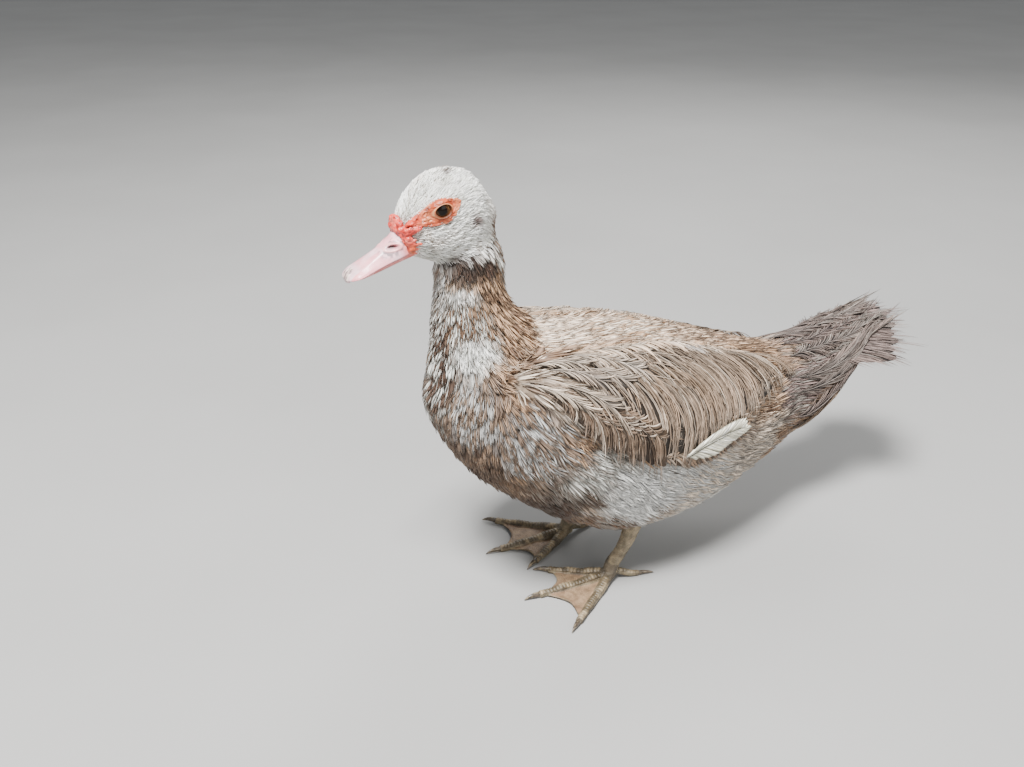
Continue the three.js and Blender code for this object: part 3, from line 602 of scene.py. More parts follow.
# Where the coat changes colour: [centre, reach, first colour, second colour, share of the second].
# The second colour comes in streaks among the first. Places with x above 0 lie on both sides.
PATCHES = [
    # underside, breast and flanks
    [(0, 20, 26), (200, 210, 62), "grey_beige", "off_white", 0.35],
    [(0, -120, 165), (70, 45, 62), "taupe", "umber", 0.42],
    [(40, -128, 190), (30, 26, 30), "taupe", "pale_grey", 0.35],
    [(0, -108, 118), (66, 56, 36), "umber", "taupe", 0.45],
    [(66, -88, 160), (26, 32, 36), "taupe", "pale_grey", 0.45],
    [(68, -60, 118), (30, 45, 30), "grey_beige", "taupe", 0.45],
    [(75, -40, 134), (26, 30, 24), "grey_beige", "off_white", 0.4],
    [(77, 0, 105), (34, 48, 42), "pale_grey", "white", 0.45],
    [(0, 0, 50), (90, 90, 34), "off_white", "pale_grey", 0.35],
    [(74, 60, 95), (34, 44, 40), "pale_grey", "cream", 0.4],
    [(60, 115, 100), (34, 46, 44), "cream", "grey_beige", 0.4],
    [(58, 126, 128), (24, 26, 18), "buff", "brown", 0.35],
    [(22, -82, 84), (72, 62, 44), "umber", "dark", 0.3],
    [(46, -24, 58), (50, 50, 28), "brown", "grey_beige", 0.45],
    # back
    [(20, -45, 222), (60, 46, 24), "buff", "cream", 0.5],
    [(0, 20, 212), (50, 60, 24), "cream", "tan", 0.35],
    [(0, 85, 195), (50, 50, 26), "buff", "brown", 0.35],
    [(10, 150, 172), (50, 34, 24), "tan", "brown", 0.4],
    [(0, 205, 150), (64, 50, 70), "mauve", "grey_beige", 0.4],
    [(44, 170, 128), (30, 26, 30), "mauve", "grey_beige", 0.4],
    [(0, 262, 165), (80, 70, 60), "mauve", "grey_beige", 0.4],
    # neck
    [(0, -88, 250), (34, 26, 70), "tan", "brown", 0.3],
    [(26, -118, 242), (26, 24, 36), "brown", "off_white", 0.42],
    [(0, -136, 212), (26, 20, 54), "umber", "off_white", 0.2],
    [(6, -131, 262), (12, 14, 22), "grey_beige", "pale_grey", 0.45],
    [(20, -118, 264), (14, 15, 10), "white", "off_white", 0.2],
    [(29, -116, 220), (18, 22, 17), "white", "off_white", 0.05],
    # head
    [(0, -125, 320), (60, 58, 46), "white", "off_white", 0.25],
    [(0, -145, 290), (30, 26, 14), "off_white", "white", 0.4],
    [(16, -112, 283), (28, 28, 9), "umber", "dark", 0.3],
    [(10, -84, 302), (24, 17, 26), "brown", "off_white", 0.35],
    [(6, -125, 346), (7, 6, 6), "spot", "umber", 0.4],
    [(23, -110, 311), (10, 7, 8), "spot", "mauve", 0.3],
]
WING_PATCHES = [
    [(60, -82, 200), (30, 30, 26), "cream", "taupe", 0.35],
    [(66, -45, 205), (30, 34, 22), "buff", "cream", 0.4],
    [(74, -50, 185), (26, 30, 22), "grey_beige", "cream", 0.45],
    [(70, -15, 195), (22, 22, 16), "blue_grey", "off_white", 0.4],
    [(82, -30, 168), (26, 34, 20), "brown", "umber", 0.35],
    [(70, 40, 178), (34, 70, 40), "brown", "tan", 0.5],
]


def patch_weights(p, patches):
    """How strongly each patch shows at each place, with ragged edges."""
    ragged = np.stack([noise(p, 16, seed) for seed in (1, 2, 3)], axis=-1) - 0.5
    ragged += 0.5 * (np.stack([noise(p, 6, seed) for seed in (4, 5, 6)], axis=-1) - 0.5)
    weights = []
    for centre, reach, *_ in patches:
        moved = p.copy()
        if centre[0] > 0:
            moved[:, 0] = np.abs(moved[:, 0])
        away = (moved - np.array(centre)) / np.array(reach) + 0.7 * ragged
        weights.append(1 - ease(0.55, 1.1, np.linalg.norm(away, axis=1)))
    return weights


def markings(p, patches=PATCHES, start=("tan", "brown", 0.4)):
    """First colour, second colour and share of the second at each place."""
    first = np.tile(PALETTE[start[0]], (len(p), 1))
    second = np.tile(PALETTE[start[1]], (len(p), 1))
    share = np.full(len(p), start[2])
    for weight, (_, _, one, two, amount) in zip(patch_weights(p, patches), patches):
        first = mix(first, PALETTE[one], weight[:, None])
        second = mix(second, PALETTE[two], weight[:, None])
        share = mix(share, amount, weight)
    clump = noise(p, 7, 11) - 0.5
    return first, second, np.clip(share + 0.55 * clump, 0.04, 0.9)


# The lie of the coat, its regions and the size of its tufts

side_sag = smooth_curve([-140, -100, -40, 60, 160], [3.0, 1.5, 0.85, 0.45, -0.05])


def over_neck(p):
    return ease(194, 228, p[:, 2]) * (1 - ease(-78, -48, p[:, 1]))


def over_head(p):
    return ease(281, 292, p[:, 2] - 0.35 * (p[:, 1] + 120))


def lie_of(p, normals):
    """Which way the coat lies at each place: back from the bill and down the neck and sides."""
    sag = side_sag(p[:, 1]) * (1 - ease(0.45, 0.85, normals[:, 2]))
    body = unit(np.stack([np.zeros(len(p)), np.ones(len(p)), -sag], axis=1))
    front = ease(0.35, 0.85, -normals[:, 1]) * ease(98, 114, -p[:, 1])
    body = mix(body, np.array([0, 0.15, -1.0]), front[:, None])
    down_neck = 0.12 + 0.8 * ease(238, 200, p[:, 2]) * ease(-122, -96, p[:, 1])
    neck = np.stack([np.zeros(len(p)), down_neck, np.full(len(p), -1.0)], axis=1)
    from_bill = unit(p - np.array([0, -164, 298.0]))
    nape = ease(-112, -88, p[:, 1])[:, None]
    crown = unit(from_bill + np.array([0, 0, -1.6]) * nape + np.array([0, 0, 0.25]) * (1 - nape))
    lie = mix(body, neck, over_neck(p)[:, None])
    lie = mix(lie, crown, over_head(p)[:, None])
    return unit(lie - normals * np.sum(lie * normals, axis=1, keepdims=True))


def angle_home(p, across, along_range, along):
    """A place on the skin's own unwrap: the turn round it and the share along it."""
    turn = np.arctan2(across[1], across[0]) / (2 * np.pi) % 1
    share = (along - along_range[0]) / (along_range[1] - along_range[0])
    return np.stack([0.02 + 0.96 * turn, 0.02 + 0.96 * np.clip(share, 0, 1), np.zeros(len(p))], axis=1)


def unwrapped(p):
    body = angle_home(p, (p[:, 0], p[:, 2] - 125), (-150, 290), p[:, 1])
    neck = angle_home(p, (p[:, 0], p[:, 1] + 112), (180, 350), p[:, 2])
    upper = (over_neck(p) > 0.5) | (over_head(p) > 0.5)
    return np.where(upper[:, None], neck, body)


REGIONS = ["bare", "head", "neck", "breast", "flank_left", "flank_right", "belly", "back"]
REGIONS += ["wing_left", "wing_right", "rump"]


def wing_share(p):
    """Where a place lies along and down the folded wing, and whether it is on it."""
    along = (p[:, 1] - WING["front"]) / (WING["back"] - WING["front"])
    middle, half_height, half_width = torso.sizes(p[:, 1])
    turn = np.arctan2(
        signed_power((p[:, 2] - middle) / np.maximum(half_height, 1), torso.squareness / 2),
        signed_power(np.abs(p[:, 0]) / np.maximum(half_width, 1), torso.squareness / 2),
    )
    top, low = wing_top(along), wing_low(along)
    down = (top - turn / DEGREE) / np.maximum(top - low, 1)
    return along, down


def on_wing(p):
    along, down = wing_share(p)
    return (along > 0.0) & (along < 0.98) & (down > -0.02) & (down < 1.0)


def region_of(p, normals):
    """Which coat each place belongs to, as a number in REGIONS. A later row wins over an earlier one."""
    left, wing = p[:, 0] > 0, on_wing(p)
    side = (p[:, 2] > 78) | (normals[:, 2] > -0.45)
    region = np.full(len(p), REGIONS.index("belly"))
    for name, where in (
        ("flank_left", side & left),
        ("flank_right", side & ~left),
        ("back", (normals[:, 2] > 0.5) & (p[:, 2] > 150)),
        ("breast", p[:, 1] < -88),
        ("rump", p[:, 1] > 168),
        ("wing_left", wing & left),
        ("wing_right", wing & ~left),
        ("neck", over_neck(p) > 0.5),
        ("head", over_head(p) > 0.5),
        ("bare", bare_face(p)),
    ):
        region[where] = REGIONS.index(name)
    return region


def turned(a, b, degrees):
    """The pair (a, b) turned by an angle."""
    angle = degrees * DEGREE
    return a * math.cos(angle) - b * math.sin(angle), a * math.sin(angle) + b * math.cos(angle)


def face_reach(p):
    """A share from the eye, 0, to the edge of the slanting bare patch, 1."""
    along, rise = turned(EYE["y"] - p[..., 1], p[..., 2] - EYE["z"], FACE["slant"])
    a = np.abs(along) / np.where(along > 0, FACE["forward"], FACE["back"])
    half = np.where(rise > 0, FACE["above"], FACE["below"]) * (1 - FACE["narrowing"] * np.minimum(a, 1) ** 2)
    return np.sqrt(a**2 + (rise / half) ** 2)


def bare_face(p):
    """True on the bare skin round the eyes and round the bill's base."""
    round_eye = (np.abs(p[:, 0]) > 7) & (face_reach(p) < BARE_EDGE) & (p[:, 2] > 296)
    bill_root = np.linalg.norm((p - np.array([0, -158, 302])) / np.array([13.5, 11, 11.5]), axis=1) < 1
    return round_eye | bill_root


# Tuft length, width and how high its tip stands, in millimetres, by region
TUFTS = {
    "bare": (4, 1.6, 1.2),
    "head": (5.4, 2.0, 2.3),
    "neck": (10.5, 3.8, 4.3),
    "breast": (15, 5.2, 5.4),
    "flank_left": (21, 7.0, 5.2),
    "flank_right": (21, 7.0, 5.2),
    "belly": (20, 8.5, 5.6),
    "back": (24, 8.5, 4.8),
    "wing_left": (19, 7.5, 3.6),
    "wing_right": (19, 7.5, 3.6),
    "rump": (27, 8.0, 4.6),
}


def dress_skin(skin):
    """Keeps on the skin what its coat grows by."""
    p, normals = vertices_of(skin)
    wing = on_wing(p)[:, None]
    body_marks, wing_marks = markings(p), markings(p, WING_PATCHES, ("tan", "buff", 0.4))
    first, second = (np.where(wing, wing_marks[k], body_marks[k]) for k in (0, 1))
    share = np.where(wing[:, 0], wing_marks[2], body_marks[2])
    up_head = over_head(p)
    longer = 1 + 0.45 * up_head * ease(-150, -100, p[:, 1]) * ease(300, 335, p[:, 2])
    nape = 0.55 * ease(-104, -84, p[:, 1]) * np.maximum(over_neck(p), up_head)
    longer += nape * (1 - ease(318, 330, p[:, 2]))
    sizes = np.array([TUFTS[name] for name in REGIONS])[region_of(p, normals)]
    sizes = sizes * MM * np.stack([longer, np.ones(len(p)), longer], axis=1)
    store(skin, lie=lie_of(p, normals), home=unwrapped(p), size=sizes)
    store(skin, first=first, second=second, share=share, tint=mix(first, second, share[:, None]))
    store(skin, region=region_of(*faces_of(skin)))


# Strips: the thin solid blades that barbs and tufts are made of


def strips(paths, sides, ups, half_widths, ridges):
    """Closed three-sided blades that end in a point. Every array is strips by stations."""
    count, stations = paths.shape[:2]
    left = paths[:, :-1] + sides[:, :-1] * half_widths[:, :-1, None]
    right = paths[:, :-1] - sides[:, :-1] * half_widths[:, :-1, None]
    crest = paths[:, :-1] + ups[:, :-1] * ridges[:, :-1, None]
    rings = np.stack([left, crest, right], axis=2).reshape(count, -1, 3)
    verts = np.concatenate([rings, paths[:, -1:]], axis=1)
    per = 3 * (stations - 1) + 1
    quads, triangles = [], [(0, 2, 1)]
    for r in range(stations - 2):
        for a, b in ((0, 1), (1, 2), (2, 0)):
            quads.append((3 * r + a, 3 * r + b, 3 * r + 3 + b, 3 * r + 3 + a))
    last = 3 * (stations - 2)
    for a, b in ((0, 1), (1, 2), (2, 0)):
        triangles.append((last + a, last + b, per - 1))
    starts = (np.arange(count) * per)[:, None, None]
    faces = (np.array(quads)[None] + starts).reshape(-1, 4).tolist()
    faces += (np.array(triangles)[None] + starts).reshape(-1, 3).tolist()
    along = np.append(np.repeat(np.linspace(0, 1, stations)[:-1], 3), 1.0)
    return verts.reshape(-1, 3), faces, np.tile(along, count)


def tuft_shape(name, blades, spread, curl, seed):
    """One tuft, 1 long along X and 1 wide along Y, that rises to 1 along Z. Its blades fan from its root."""
    rng = np.random.default_rng(seed)
    stations = 5
    t = np.linspace(0, 1, stations)[None, :]
    order = np.linspace(-1, 1, blades)[:, None] + rng.uniform(-0.12, 0.12, (blades, 1))
    length = 1 - 0.28 * np.abs(order) ** 1.5 + rng.uniform(-0.1, 0.08, (blades, 1))
    bend = curl * rng.uniform(0.4, 1.0, (blades, 1)) + 0.1 * rng.uniform(-1, 1, (blades, 1))
    x = length * t
    y = spread * 0.5 * order * (0.3 + 0.7 * t**0.8) + 0.5 * bend * t**2
    height = 0.72 + 0.28 * rng.uniform(0, 1, (blades, 1)) - 0.12 * np.abs(order)
    z = -0.12 + (0.12 + height) * t**0.85
    paths = np.stack([x + 0 * y, y, z + 0 * y], axis=-1)
    sides = np.broadcast_to(np.array([0, 1.0, 0]), paths.shape)
    ups = np.broadcast_to(np.array([0, 0, 1.0]), paths.shape)
    profile = np.array([0.6, 1.0, 0.95, 0.62, 0])[None, :]
    width = 0.62 * spread / blades * profile * rng.uniform(0.8, 1.15, (blades, 1))
    verts, faces, along = strips(paths, sides, ups, width, 0.2 * profile + 0 * order)
    made = loose_object(name, verts, faces, recalculate=False)
    blade = np.repeat(rng.uniform(0, 1, blades), len(verts) // blades)
    patch = np.stack([verts[:, 0] - 0.5, verts[:, 1], 0 * along], axis=1)
    store(made, along=along, blade=blade, rise=verts[:, 2], patch=patch)
    return made


def tuft_set(name, count, blades, spread=1.0, curl=0.0):
    """A collection of unlike tufts of one kind."""
    made = bpy.data.collections.new(name)
    for i in range(count):
        bend = curl * (1 if i % 2 else -0.6)
        made.objects.link(tuft_shape(f"{name}_{i}", blades, spread, bend, 100 + i))
    return made


# Node trees: a value goes into a node as it is made, be it a number or another node's output


def feed(tree, target, inputs):
    """Fills a node's inputs, by name or by number."""
    for key, value in inputs.items():
        if isinstance(value, bpy.types.NodeSocket):
            tree.links.new(value, target.inputs[key])
        else:
            target.inputs[key].default_value = value


def node(tree, kind, inputs=None, **settings):
    """A new node. Settings with a plain name are its properties."""
    made = tree.nodes.new(kind)
    for key, value in settings.items():
        setattr(made, key, value)
    feed(tree, made, inputs or {})
    return made


def sockets(tree, in_out, *rows):
    """Inputs or outputs of a tree, each row a name, a kind and perhaps a value to start from."""
    for name, kind, *value in rows:
        made = tree.interface.new_socket(name=name, in_out=in_out, socket_type=f"NodeSocket{kind}")
        if value:
            made.default_value = value[0]


def math_node(tree, operation, a, b):
    return node(tree, "ShaderNodeMath", {0: a, 1: b}, operation=operation).outputs[0]


def scaled(tree, vector, by):
    return node(tree, "ShaderNodeVectorMath", {0: vector, "Scale": by}, operation="SCALE").outputs[0]


def added(tree, a, b):
    return node(tree, "ShaderNodeVectorMath", {0: a, 1: b}, operation="ADD").outputs[0]


def named(tree, name, kind="FLOAT"):
    """What the mesh keeps under a name."""
    made = node(tree, "GeometryNodeInputNamedAttribute", {"Name": name}, data_type=kind)
    return made.outputs["Attribute"]


def stored(tree, geometry, name, kind, value, domain="POINT"):
    inputs = {"Name": name, "Geometry": geometry, "Value": value}
    made = node(tree, "GeometryNodeStoreNamedAttribute", inputs, data_type=kind, domain=domain)
    return made.outputs["Geometry"]


def random_value(tree, low, high, seed, kind="FLOAT"):
    """The node has a pair of inputs and an output for each kind of number."""
    first, last, out = {"FLOAT_VECTOR": (0, 1, 0), "FLOAT": (2, 3, 1), "INT": (4, 5, 2)}[kind]
    inputs = {first: low, last: high, "Seed": seed}
    return node(tree, "FunctionNodeRandomValue", inputs, data_type=kind).outputs[out]


# The coat tree: tufts scattered over a skin, laid along its lie and settled onto it

BAKE_PATCH = 0.003  # how wide a tuft's patch of the baking map is
MOST_POINTS = 5e6  # places for each square metre, before those too near another are dropped


def scatter_points(tree, start):
    """Places for tufts, one spacing apart, over one region of the skin."""
    pair = {2: named(tree, "region", "INT"), 3: start["Region"]}
    chosen = node(tree, "FunctionNodeCompare", pair, data_type="INT", operation="EQUAL")
    inputs = {
        "Mesh": start["Geometry"],
        "Selection": chosen.outputs[0],
        "Distance Min": start["Spacing"],
        "Density Max": MOST_POINTS,
        "Seed": start["Seed"],
    }
    return node(tree, "GeometryNodeDistributePointsOnFaces", inputs, distribute_method="POISSON").outputs


def colour_points(tree, points):
    """A tuft takes the first or the second of its place's two colours, and keeps the other for streaks."""
    first, second = (named(tree, name, "FLOAT_COLOR") for name in ("first", "second"))
    pair = {0: random_value(tree, 0, 1, 5), 1: named(tree, "share")}
    pick_second = node(tree, "FunctionNodeCompare", pair, data_type="FLOAT", operation="LESS_THAN").outputs[0]

    def chosen(no, yes):
        inputs = {"Switch": pick_second, "False": no, "True": yes}
        return node(tree, "GeometryNodeSwitch", inputs, input_type="RGBA").outputs[0]

    tint = scaled(tree, chosen(first, second), random_value(tree, 0.84, 1.12, 6))
    points = stored(tree, points, "tint", "FLOAT_COLOR", tint)
    return stored(tree, points, "other", "FLOAT_COLOR", chosen(second, first))


def stand_tufts(tree, start, points, normal):
    """A tuft at each place, along the lie of the coat but a little out of true."""
    wander = random_value(tree, (-1, -1, -1), (1, 1, 1), 7, "FLOAT_VECTOR")
    way = added(tree, named(tree, "lie", "FLOAT_VECTOR"), scaled(tree, wander, start["Untidiness"]))
    turn = node(tree, "FunctionNodeAxesToRotation", {0: normal, 1: way}, primary_axis="Z", secondary_axis="X")
    inputs = {0: random_value(tree, -1, 1, 8), 1: start["Size Spread"], 2: 1}
    spread = node(tree, "ShaderNodeMath", inputs, operation="MULTIPLY_ADD").outputs[0]
    size = scaled(tree, named(tree, "size", "FLOAT_VECTOR"), spread)
    points = stored(tree, points, "tuft_size", "FLOAT_VECTOR", size)
    inputs = {"Collection": start["Tufts"], "Separate Children": True, "Reset Children": True}
    kinds = node(tree, "GeometryNodeCollectionInfo", inputs)
    inputs = {
        "Points": points,
        "Instance": kinds.outputs[0],
        "Pick Instance": True,
        "Instance Index": random_value(tree, 0, 50, 9, "INT"),
        "Rotation": turn.outputs[0],
        "Scale": size,
    }
    grown = node(tree, "GeometryNodeInstanceOnPoints", inputs)
    return node(tree, "GeometryNodeRealizeInstances", {"Geometry": grown.outputs[0]}).outputs[0]


def settle_tufts(tree, start, tufts):
    """Every point of a tuft settles over the skin at its own height."""
    skin = start["Geometry"]
    here = node(tree, "GeometryNodeInputPosition").outputs[0]
    near = node(tree, "GeometryNodeProximity", {0: skin, "Sample Position": here}, target_element="FACES")
    normal = node(tree, "GeometryNodeInputNormal").outputs[0]
    inputs = {"Mesh": skin, "Value": normal, "Sample Position": here}
    surface = node(tree, "GeometryNodeSampleNearestSurface", inputs, data_type="FLOAT_VECTOR")
    parts = node(tree, "ShaderNodeSeparateXYZ", {0: named(tree, "tuft_size", "FLOAT_VECTOR")})
    height = math_node(tree, "MULTIPLY", named(tree, "rise"), parts.outputs["Z"])
    above = math_node(tree, "SUBTRACT", height, start["Sink"])
    lifted = scaled(tree, surface.outputs["Value"], above)
    inputs = {"Geometry": tufts, "Position": added(tree, near.outputs["Position"], lifted)}
    return node(tree, "GeometryNodeSetPosition", inputs).outputs[0]


def coat_tree():
    tree = bpy.data.node_groups.new("coat", "GeometryNodeTree")
    sockets(
        tree,
        "INPUT",
        ("Geometry", "Geometry"),
        ("Tufts", "Collection"),
        ("Region", "Int", 1),
        ("Spacing", "Float", 0.004),
        ("Untidiness", "Float", 0.2),
        ("Size Spread", "Float", 0.2),
        ("Sink", "Float", 0.0004),
        ("Patch Size", "Float", BAKE_PATCH),
        ("Seed", "Int", 1),
        ("Finish", "Material"),
    )
    sockets(tree, "OUTPUT", ("Geometry", "Geometry"))
    start = node(tree, "NodeGroupInput").outputs
    places = scatter_points(tree, start)
    points = colour_points(tree, places["Points"])
    tufts = settle_tufts(tree, start, stand_tufts(tree, start, points, places["Normal"]))
    # the baking map: each tuft is a small patch at its root's home
    offset = scaled(tree, named(tree, "patch", "FLOAT_VECTOR"), start["Patch Size"])
    corner = added(tree, named(tree, "home", "FLOAT_VECTOR"), offset)
    mapped = stored(tree, tufts, "OFBake", "FLOAT2", corner, "CORNER")
    painted = node(tree, "GeometryNodeSetMaterial", {"Geometry": mapped, "Material": start["Finish"]})
    node(tree, "NodeGroupOutput", {0: painted.outputs[0]})
    return tree


def grow_coat(tree, name, base, region, tufts, finish, spacing, **values):
    """A coat piece grown over one region of a skin, as a plain mesh of its own."""
    made = linked(bpy.data.objects.new(name, base.data.copy()))
    modifier = made.modifiers.new("coat", "NODES")
    modifier.node_group = tree
    settings = {"Tufts": tufts, "Region": region, "Finish": finish, "Spacing": spacing * MM}
    settings["Patch Size"] = BAKE_PATCH
    settings.update({key.replace("_", " ").title(): value for key, value in values.items()})
    for item in tree.interface.items_tree:
        if item.item_type == "SOCKET" and item.in_out == "INPUT" and item.name in settings:
            modifier[item.identifier] = settings[item.name]
    return settled(made)


# Finishes


def new_material(name):
    made = bpy.data.materials.new(name)
    made.use_nodes = True
    return made, made.node_tree, made.node_tree.nodes["Principled BSDF"]


def blend_colours(tree, factor, a, b, kind="MIX"):
    a, b = (value if isinstance(value, bpy.types.NodeSocket) else (*value, 1) for value in (a, b))
    return node(tree, "ShaderNodeMix", {0: factor, 6: a, 7: b}, data_type="RGBA", blend_type=kind).outputs[2]


def attribute(tree, name, output="Color"):
    return node(tree, "ShaderNodeAttribute", attribute_name=name).outputs[output]


def noise_node(tree, scale, detail, coordinates=None):
    coordinates = coordinates or node(tree, "ShaderNodeTexCoord").outputs["Object"]
    inputs = {"Vector": coordinates, "Scale": scale, "Detail": detail}
    return node(tree, "ShaderNodeTexNoise", inputs).outputs["Fac"]


def span(tree, value, low, high, to_low, to_high):
    """One range of numbers turned into another."""
    inputs = {"Value": value, "From Min": low, "From Max": high, "To Min": to_low, "To Max": to_high}
    return node(tree, "ShaderNodeMapRange", inputs).outputs["Result"]


def bump(tree, height, distance, strength=1.0):
    inputs = {"Height": height, "Distance": distance, "Strength": strength}
    return node(tree, "ShaderNodeBump", inputs).outputs[0]


MIDDLE_GREY = (0.5, 0.5, 0.5, 1)
WORN_TIP = (0.80, 0.76, 0.69)


def barb_group():
    """How a barb is shaded: darker towards its root deep in the coat, as painted shade, worn pale at its tip,
    each a little unlike the next.
    """
    group = bpy.data.node_groups.new("barb shade", "ShaderNodeTree")
    sockets(
        group,
        "INPUT",
        ("Tint", "Color", MIDDLE_GREY),
        ("Along", "Float", 0.5),
        ("Barb", "Float", 0.5),
        ("Depth", "Float", 0.5),
        ("Wear", "Float", 0.2),
        ("Unlike", "Float", 0.3),
        ("Other", "Color", MIDDLE_GREY),
        ("Streaks", "Float", 0.0),
    )
    sockets(group, "OUTPUT", ("Color", "Color"), ("Roughness", "Float"))
    start = node(group, "NodeGroupInput").outputs
    # painted shade: each barb darkens towards its root, deep in the coat
    deep = span(group, start["Along"], 0.0, 0.7, 1.0, 0.0)
    dark = math_node(group, "SUBTRACT", 1.0, math_node(group, "MULTIPLY", deep, start["Depth"]))
    unlike = math_node(group, "MULTIPLY", math_node(group, "SUBTRACT", start["Barb"], 0.5), start["Unlike"])
    soft = noise_node(group, 170, 4)
    mottle = span(group, soft, 0.3, 0.7, 0.86, 1.1)
    strength = math_node(group, "MULTIPLY", dark, math_node(group, "ADD", 1.0, unlike))
    strength = math_node(group, "MULTIPLY", strength, mottle)
    streak = math_node(group, "LESS_THAN", start["Barb"], start["Streaks"])
    streak = math_node(group, "MULTIPLY", streak, 0.85)
    shaded = scaled(group, blend_colours(group, streak, start["Tint"], start["Other"]), strength)
    worn = math_node(group, "MULTIPLY", span(group, start["Along"], 0.72, 1.0, 0.0, 1.0), start["Wear"])
    colour = blend_colours(group, worn, shaded, WORN_TIP)
    node(group, "NodeGroupOutput", {"Color": colour, "Roughness": span(group, soft, 0.3, 0.7, 0.5, 0.68)})
    return group


def plumage(name, group, depth, wear, unlike, streaks=0.0):
    made, tree, surface = new_material(name)
    # depth sets how much darker each barb grows towards its root, as painted shade deep in the coat
    inputs = {"Depth": depth, "Wear": wear, "Unlike": unlike, "Streaks": streaks}
    inputs["Tint"] = attribute(tree, "tint")
    inputs["Along"] = attribute(tree, "along", "Fac")
    inputs["Barb"] = attribute(tree, "blade", "Fac")
    if streaks > 0:
        inputs["Other"] = attribute(tree, "other")
    shade = node(tree, "ShaderNodeGroup", inputs, node_tree=group).outputs
    look = {"Base Color": shade["Color"], "Roughness": shade["Roughness"], "Specular IOR Level": 0.3}
    feed(tree, surface, look)
    return made


def down_material():
    """The skin under the coat: soft grey down in the coat's own markings."""
    made, tree, surface = new_material("down")
    fluff = noise_node(tree, 420, 5)
    tint = blend_colours(tree, 1.0, attribute(tree, "tint"), (0.42, 0.38, 0.34), "MULTIPLY")
    colour = blend_colours(tree, span(tree, fluff, 0.35, 0.65, 0, 0.4), tint, (0.05, 0.04, 0.035))
    feed(tree, surface, {"Base Color": colour, "Roughness": 0.95, "Normal": bump(tree, fluff, 0.0008)})
    return made


def skin_group():
    """Fine skin grain: pits and pebbles as a height, and a coarser mottle as a mask of its own."""
    group = bpy.data.node_groups.new("skin grain", "ShaderNodeTree")
    sockets(group, "INPUT", ("Scale", "Float", 900))
    sockets(group, "OUTPUT", ("Height", "Float"), ("Mottle", "Float"))
    start = node(group, "NodeGroupInput").outputs
    where = node(group, "ShaderNodeTexCoord").outputs["Object"]
    cells = node(group, "ShaderNodeTexVoronoi", {"Vector": where, "Scale": start["Scale"]}, feature="F1")
    pits = math_node(group, "MULTIPLY", cells.outputs["Distance"], 0.8)
    height = math_node(group, "SUBTRACT", noise_node(group, 700, 5, where), pits)
    node(group, "NodeGroupOutput", {"Height": height, "Mottle": noise_node(group, 210, 4, where)})
    return group


def bare_material(name, group, scale, roughness, depth, dark, bright, wet=0.0):
    """Skin, horn or scale in the piece's own tint, mottled between a darker and a brighter cast."""
    made, tree, surface = new_material(name)
    grain = node(tree, "ShaderNodeGroup", node_tree=group)
    grain.inputs["Scale"].default_value = scale
    tint, mottle = attribute(tree, "tint"), grain.outputs["Mottle"]
    darker, lighter = (blend_colours(tree, 1.0, tint, cast, "MULTIPLY") for cast in (dark, bright))
    colour = blend_colours(tree, span(tree, mottle, 0.35, 0.65, 0, 1), darker, lighter)
    look = {
        "Base Color": colour,
        "Roughness": span(tree, mottle, 0.3, 0.7, roughness - 0.06, roughness + 0.08),
        "Coat Weight": wet,
        "Coat Roughness": 0.25,
        "Normal": bump(tree, grain.outputs["Height"], depth * MM, 0.8),
    }
    feed(tree, surface, look)
    return made


PUPIL = (0.006, 0.004, 0.003)
# Rings round the pupil: where each begins and is full, as shares of the iris, and its colour
EYE_RINGS = [
    (0.56, 0.64, (0.055, 0.024, 0.01)),
    (0.82, 0.94, (0.24, 0.12, 0.045)),
    (1.02, 1.12, (0.05, 0.03, 0.02)),
]


def eye_material():
    """Pupil and iris rings by distance from the eye's own axis, under a clear wet coat."""
    made, tree, surface = new_material("eye")
    where = attribute(tree, "ring", "Fac")
    iris = PUPIL
    for low, high, colour in EYE_RINGS:
        iris = blend_colours(tree, span(tree, where, low, high, 0, 1), iris, colour)
    fibres = span(tree, noise_node(tree, 1500, 3), 0.3, 0.7, 0.7, 1.15)
    look = {"Base Color": scaled(tree, iris, fibres), "Roughness": 0.22, "Specular IOR Level": 0.0}
    feed(tree, surface, look | {"Coat Weight": 0.3, "Coat Roughness": 0.02})
    return made


# Large feathers: a rachis with locks of separate barbs on each side, drawn in millimetres on a chart


def wing_chart(side):
    def chart(p, q, lift):
        along, down = p / WING_LENGTH, q / WING_DROP
        inward = mix(0.15, 1, ease(-20, 26, q)) * mix(0.4, 1, ease(0, 50, p))
        height = (wing_lift(np.clip(along, 0, 1), np.clip(down, 0, 1)) + lift) * inward
        rear = ease(170, 235, p)
        height = height - (4.2 + 4.5 * rear) * (1 - ease(-12, 20 + 6 * rear, q))
        return wing_place(along, down, height, side)

    return chart


BARB_WIDTHS = smooth_curve([0, 0.15, 0.5, 0.8, 1], [0.3, 1.0, 1.0, 0.75, 0.2])
# On the baking map a barb's patch is 0.0015 wide for each 60 mm.
PATCH_SCALE, PATCH_REACH = 60, 0.0015
SHAFT_STATIONS = 12


